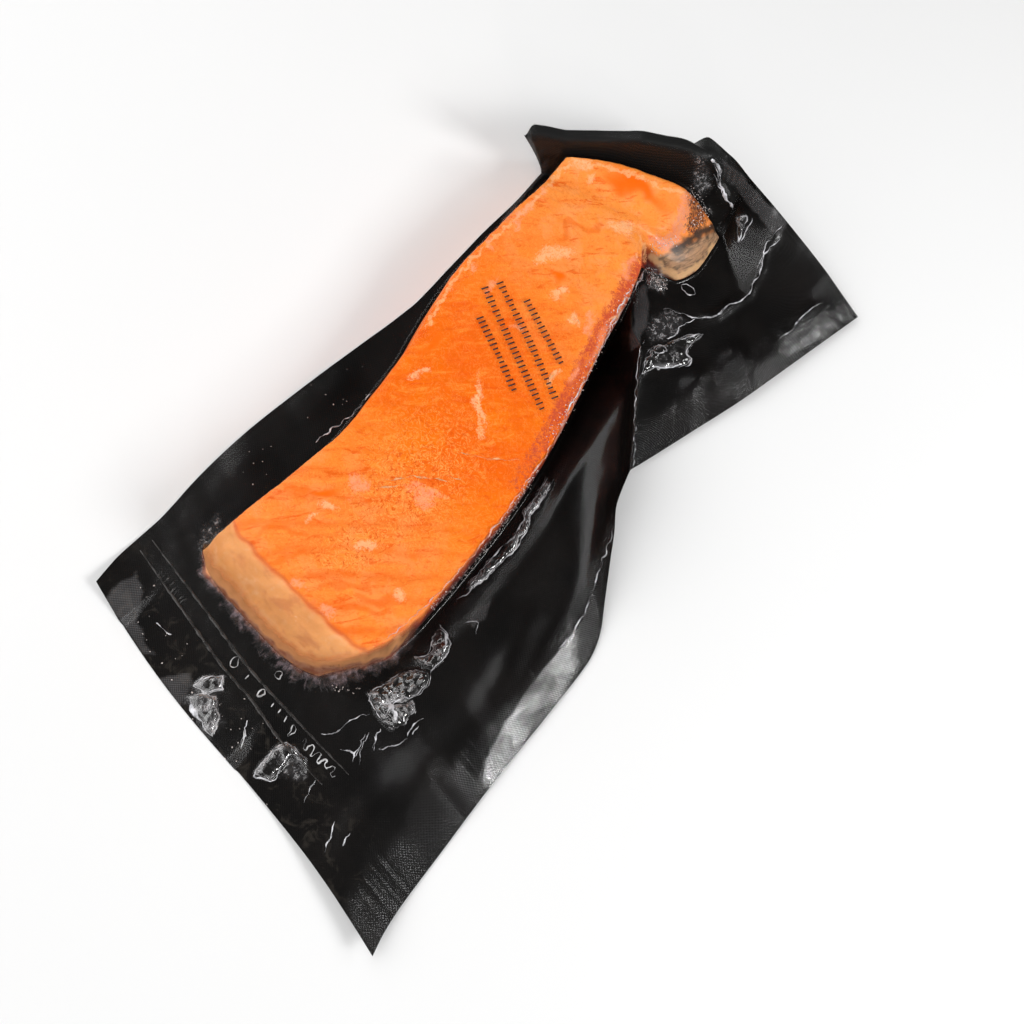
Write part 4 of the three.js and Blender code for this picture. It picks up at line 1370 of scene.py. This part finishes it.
def juice_tint(nodes, fringe):
    """Greyish at the tips, brown in the middle and orange at the foot."""
    tuft = nodes.noise(350, 4)
    outer = nodes.two_tone(tuft, 0.4, 0.6, (92, 78, 74), (160, 142, 148))
    middle = nodes.two_tone(tuft, 0.4, 0.6, (148, 84, 66), (182, 128, 104))
    tint = nodes.mix(fringe.ramp(0.65, 0.9), outer, middle)
    return nodes.mix(fringe.ramp(0.96, 1.15), tint, colour(228, 158, 102))


def clear_film_material():
    """See-through film with gloss that grows towards grazing, and pale places: painted highlights and haze,
    and the frozen juice at the near foot.
    """
    nodes = Nodes("clear_film")
    crumpled = nodes.value("border").ramp(-0.2, 0.6)
    sheen = nodes.value("sheen")
    crinkle = nodes.noise(230, 2, 0.5, 0.9) * (crumpled * 1.6 + sheen.ramp(0, 1, 0.12, 0.05))
    peaks = emboss_height(nodes)
    creased = nodes.bump(crinkle, 0.0004, 0.5)
    normal = nodes.bump(peaks * nodes.value("margin"), EMBOSS_DEPTH, 1.0, creased)
    grazing = nodes.add("LayerWeight", {"Blend": 0.5, "Normal": normal}, "Facing").maths("POWER", 4.0) * 0.2
    clouds = nodes.noise(100, 3).ramp(0.35, 0.65, 0.45, 1.3)
    grain = nodes.noise(1100, 2).ramp(0.35, 0.65, 0.4, 1.5)
    hatch = sheen * clouds * grain * peaks.ramp(-0.3, 0.5, 0.03, 0.3)
    shine = grazing + (hatch + crumpled * 0.09 + 0.024)
    gloss = nodes.principled({
        "Base Color": (1, 1, 1, 1), "Metallic": 1.0, "Roughness": crumpled.ramp(0, 1, 0.2, 0.1),
        "Normal": normal,
    })
    see_through = nodes.add("BsdfTransparent", {"Color": (0.985, 0.985, 0.98, 1)})
    quieted = shine * nodes.value("calm").ramp(0, 1, 1.0, 0.2)
    sheet = nodes.add("MixShader", {0: quieted, 1: see_through, 2: gloss})
    fringe = nodes.value("fringe")
    juice = juice_share(nodes, fringe)
    # The veil is pale grey for the painted highlights and haze, and takes the juice's tints where there is
    # juice
    tint = nodes.mix(juice.ramp(0.02, 0.1), colour(208, 206, 208), juice_tint(nodes, fringe))
    veil = nodes.principled({"Base Color": tint, "Roughness": 0.45, "Normal": normal})
    highlights_and_juice = crumple_highlights_and_haze(nodes).maths("MAXIMUM", juice)
    return nodes.surfaced(nodes.add("MixShader", {0: highlights_and_juice, 1: sheet, 2: veil}))


# Attribute, strength and colour of each patch on the flesh, laid over each other in this order
FLESH_LAYERS = [
    # groove: painted shade, darker orange in the grooves
    ("groove_shade", 0.35, (228, 92, 4)), ("line", 0.5, (236, 98, 0)), ("deep", 1.0, (252, 106, 0)),
    # side, foot and edge: painted shade on the right side (partly its own redder flesh), at its foot and
    # along the left edge
    ("side", 1.0, (144, 52, 34)), ("foot", 0.9, (58, 32, 32)), ("edge", 0.6, (196, 96, 44)),
]
SPECKLED_LAYERS = [
    # flank: painted shade, partly the flank's own redder flesh
    ("shaded_flank", 0.95, (196, 76, 50)), ("glint", 0.7, (255, 186, 128)), ("frost", 0.75, (252, 190, 140)),
    ("pink", 0.75, (255, 162, 120)), ("speck", 0.65, (228, 146, 120)), ("brown", 1.0, (96, 56, 42)),
]
SEAM_LAYERS = [("seam", 0.6, (196, 84, 44))]
FAT_LAYERS = [("rim", 0.8, (222, 176, 128)), ("skin", 0.95, (44, 40, 36))]


def patches(nodes, layers, lace=None):
    """Share and tint of each patch; a lace breaks them up, most of all towards their edges."""
    for name, strength, tint in layers:
        share = nodes.value(name)
        if lace is not None:
            share = (share * 0.8 + lace).ramp(0.2, 1.0) * share.ramp(0.0, 0.4)
        yield share * strength, tint


def near_face_colour(nodes, broad, mottle, lacy):
    face = nodes.two_tone(broad, 0.35, 0.65, (220, 144, 82), (244, 168, 104))
    return nodes.over(face, [
        (mottle.ramp(0.48, 0.32, 0, 0.6), (206, 122, 74)),
        (mottle.ramp(0.52, 0.68, 0, 0.5), (238, 178, 130)),
        (lacy.ramp(0.62, 0.72, 0, 0.6), (250, 204, 170)),
    ])


def flesh_material():
    nodes = Nodes("salmon_flesh")
    broad = nodes.noise(28, 3)
    mottle = nodes.noise(120, 5, 0.6, 0.4)
    net = nodes.noise(520, 4, 0.6, 1.6)
    lacy = nodes.noise(800, 4, 0.7, 1.2)
    grain = nodes.noise(1500, 3, 0.7)
    streaks = nodes.streaks(55, 420, 0.65, 0.8)
    veins = nodes.contour(nodes.noise(300, 3, 0.6, 2.0), 0.016)
    pale, fine = nodes.value("pale"), nodes.value("crinkle") * 0.6 + 0.28
    base = nodes.two_tone(broad, 0.35, 0.65, (240, 100, 0), (246, 118, 0))
    base = nodes.over(base, [
        (pale * 0.8, (255, 154, 70)), (pale * mottle.ramp(0.45, 0.62, 0, 0.45), (255, 166, 104)),
        (streaks.ramp(0.52, 0.7, 0, 0.6), (255, 152, 56)), (streaks.ramp(0.47, 0.32, 0, 0.8), (234, 88, 0)),
        (veins * fine, (255, 166, 84)), (net.ramp(0.46, 0.36) * fine, (224, 84, 0)),
        *patches(nodes, FLESH_LAYERS), *patches(nodes, SPECKLED_LAYERS, (lacy - 0.5) * 2.8),
    ])
    base = nodes.mix(nodes.value("near"), base, near_face_colour(nodes, broad, mottle, lacy))
    base = nodes.over(base, patches(nodes, SEAM_LAYERS))
    fibre = nodes.streaks(79, 600, 0.65, 0.6)
    fat = nodes.two_tone(fibre, 0.36, 0.62, (122, 98, 78), (188, 146, 112))
    base = nodes.over(nodes.mix(nodes.value("fat"), base, fat), patches(nodes, FAT_LAYERS))
    return nodes.surfaced(nodes.principled({
        "Base Color": base, "Roughness": grain.ramp(0.3, 0.7, 0.42, 0.6),
        "Normal": nodes.bump(net * 0.4 + grain * 0.4, 0.0004, 0.5), "Subsurface Weight": 0.12,
        "Subsurface Scale": 0.002, "Subsurface Radius": (1.0, 0.4, 0.15), "Specular IOR Level": 0.14,
    }))


def plain_film_material(name, tint, roughness, opacity):
    """Beads and marks of film or ink, uneven in tone and a little broken."""
    nodes = Nodes(name)
    darker = tuple(0.7 * part for part in tint)
    return nodes.surfaced(nodes.principled({
        "Base Color": nodes.mix(nodes.noise(500, 3).ramp(0.35, 0.65), (*tint, 1), (*darker, 1)),
        "Roughness": roughness, "Alpha": nodes.noise(260, 3).ramp(0.4, 0.6, *opacity),
    }))


def floor_material():
    nodes = Nodes("floor")
    return nodes.surfaced(nodes.principled({
        "Base Color": nodes.mix(nodes.noise(3), (0.8, 0.8, 0.8, 1), (0.84, 0.84, 0.84, 1)),
        "Roughness": 0.7, "Specular IOR Level": 0.2,
    }))


# The films and what lies on them

def film_pieces():
    """Both fine films; what comes back finds the clear film's surface behind a pixel."""
    backing, clear, black_values, clear_values = film_surfaces()
    black = grid_piece("black_film", backing, "black_film", black_film_material(), black_values)
    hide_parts("backing_film")
    film = grid_piece("clear_front_film", clear, "clear_film", clear_film_material(), clear_values)
    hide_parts("clear_film")
    return surface_of(clear)


def crease_pieces(tree):
    # Pale grey beads: painted highlights along the film's wrinkles
    crease_highlight = plain_film_material("crease_highlight_film", (0.82, 0.82, 0.86), 0.18, (0.25, 0.95))
    parts = [ridge(tree, line, CREASE_SIZE) for line in CREASES]
    parts += [ridge(tree, line, WIDE_CREASE_SIZE) for line in WIDE_CREASES]
    bead_piece("film_creases", parts, "clear_film", crease_highlight)
    # Pale orange beads: painted highlights of the creases over the fish
    soft = plain_film_material("fish_crease_highlight_film", (1.0, 0.55, 0.24), 0.5, (0.1, 0.6))
    parts = [ridge(tree, line, FISH_CREASE_SIZE) for line in FISH_CREASES]
    bead_piece("fish_creases", parts, "clear_film", soft)
    # Pinkish bead: painted highlight along the fish's right edge
    edge = plain_film_material("edge_highlight_film", (0.8, 0.5, 0.42), 0.2, (0.2, 0.8))
    bead_piece("edge_crease", [ridge(tree, EDGE_HIGHLIGHT_LINE, EDGE_SIZE)], "clear_film", edge)


# Pressed marks of the seal: rings as centre, radii and turn, dashes, a row of teeth and a serpentine
SEAL_RINGS = [
    ((235, 662), 6, 3.4, 58), ((262, 693), 4, 2.8, 40), ((279, 675), 4.5, 2.6, 40), ((292, 731), 6, 2.4, 70),
]
SEAL_DASHES = paths(
    [245, 679, 249, 675], [271, 707, 274, 703], [278, 713, 281, 709], [284, 722, 287, 716],
    [241, 748, 244, 737, 244, 730],
)
TEETH_LINE = path(160, 573, 184, 601)
TEETH_COUNT = 8
TOOTH_REACH = 4
WAVE_LINE = path(302, 741, 336, 774)
WAVE_TURNS = 5
WAVE_SWING = 6
WAVE_REACH = 4


def line_frame(line):
    """Start, run and unit square of a straight line in the photograph."""
    start, end = np.array(line, float)
    run = end - start
    return start, run, np.array([run[1], -run[0]]) / np.linalg.norm(run)


def seal_teeth():
    """Short strokes across one end of the seal."""
    start, run, square = line_frame(TEETH_LINE)
    middles = [start + run * i / (TEETH_COUNT - 1) for i in range(TEETH_COUNT)]
    reach = square * TOOTH_REACH
    return [[middle - reach, middle, middle + reach] for middle in middles]


def seal_wave():
    """Serpentine mark that the sealing bar leaves at the other end."""
    start, run, square = line_frame(WAVE_LINE)
    turns = np.linspace(0, 1, 8 * WAVE_TURNS + 1)[:, None]
    swing = np.clip(WAVE_SWING * np.sin(2 * math.pi * WAVE_TURNS * turns), -WAVE_REACH, WAVE_REACH)
    return start + run * turns + square * swing


def seal_pieces(tree):
    grey = plain_film_material("seal_film", (0.045, 0.042, 0.04), 0.25, (0.3, 1.0))
    beads = [ridge(tree, line, SEAL_SIZE, uneven=0.12) for line in SEAL_LINES]
    beads += [ridge(tree, line, TOOTH_SIZE) for line in seal_teeth()]
    bead_piece("seal_ridges", beads, "black_film", grey)
    # Pale rings, dashes and serpentine: painted highlights on the pressed marks
    mark_highlight = plain_film_material("seal_mark_highlight", (0.75, 0.75, 0.76), 0.2, (0.35, 0.95))
    marks = [ridge(tree, ring_path(*ring), RING_SIZE, 1.5) for ring in SEAL_RINGS]
    marks += [ridge(tree, line, DASH_SIZE, 1.0, uneven=0) for line in SEAL_DASHES]
    marks.append(ridge(tree, seal_wave(), WAVE_SIZE, 1.0))
    bead_piece("seal_marks", marks, "clear_film", mark_highlight)


# Studio

FLOOR_HALF = 2.5
WORLD_COLOUR = (1.0, 0.98, 0.95, 1)
WORLD_STRENGTH = 0.075
# Name, heading from the far side and height above the floor in degrees, width in metres, watts
SOFTBOXES = [
    ("glare_light", 66, 37, 0.32, 5.6),
    ("far_light", 28, 38, 0.25, 1.0),
    ("wing_light", 132, 40, 0.4, 0.4),
    ("left_light", 262, 38, 1.2, 6.0),
    ("near_light", 215, 46, 1.4, 9.0),
    ("first_spark", 86, 30, 0.08, 0.5),
    ("second_spark", 128, 25, 0.08, 0.5),
]
LIGHT_DISTANCE = 1.0
CLIP_START = 0.01
DRAW_SEED = 7


def studio():
    corners = [(x * FLOOR_HALF, y * FLOOR_HALF, 0) for x, y in ((-1, -1), (1, -1), (1, 1), (-1, 1))]
    mesh = bpy.data.meshes.new("floor")
    mesh.from_pydata(corners, [], [(0, 1, 2, 3)])
    mesh.materials.append(floor_material())
    floor = linked("floor", mesh)
    world = bpy.data.worlds.new("studio")
    world.use_nodes = True
    background = world.node_tree.nodes["Background"]
    background.inputs["Color"].default_value = WORLD_COLOUR
    background.inputs["Strength"].default_value = WORLD_STRENGTH
    bpy.context.scene.world = world
    bpy.context.scene.view_settings.view_transform = "Standard"


def lights():
    for name, heading, height, size, watts in SOFTBOXES:
        data = bpy.data.lights.new(name, "AREA")
        data.shape = "SQUARE"
        data.size = size
        data.energy = watts
        heading, height = math.radians(heading), math.radians(height)
        level = Vector((math.sin(heading), math.cos(heading), 0)) * math.cos(height)
        place = (level + Vector((0, 0, math.sin(height)))) * LIGHT_DISTANCE
        light = linked(name, data)
        light.location = place
        light.rotation_euler = place.to_track_quat("Z", "Y").to_euler()


def camera():
    data = bpy.data.cameras.new("camera")
    data.sensor_width = SENSOR_MM
    data.lens = FOCAL_PX / PHOTO_SIDE * SENSOR_MM
    data.clip_start = CLIP_START
    turn = Matrix(np.stack([IMAGE_RIGHT, IMAGE_UP, -VIEW], axis=1).tolist()).to_4x4()
    made = linked("camera", data)
    made.matrix_world = Matrix.Translation(Vector((CAMERA_PLACE + SHIFT) * MM)) @ turn
    bpy.context.scene.camera = made


def build():
    draw = np.random.default_rng(DRAW_SEED)
    camera()
    studio()
    lights()
    clear_tree = film_pieces()
    flesh_piece()
    crease_pieces(clear_tree)
    seal_pieces(clear_tree)
    ink = plain_film_material("print_ink", (0.03, 0.012, 0.01), 0.5, (0.85, 1.0))
    bead_piece("print_ticks", print_parts(clear_tree, draw), "black_film", ink)
    ice = plain_film_material("ice", (1.0, 0.9, 0.86), 0.35, (0.35, 0.85))
    bead_piece("frost_crystals", crystal_parts(clear_tree, draw), "clear_film", ice)


build()
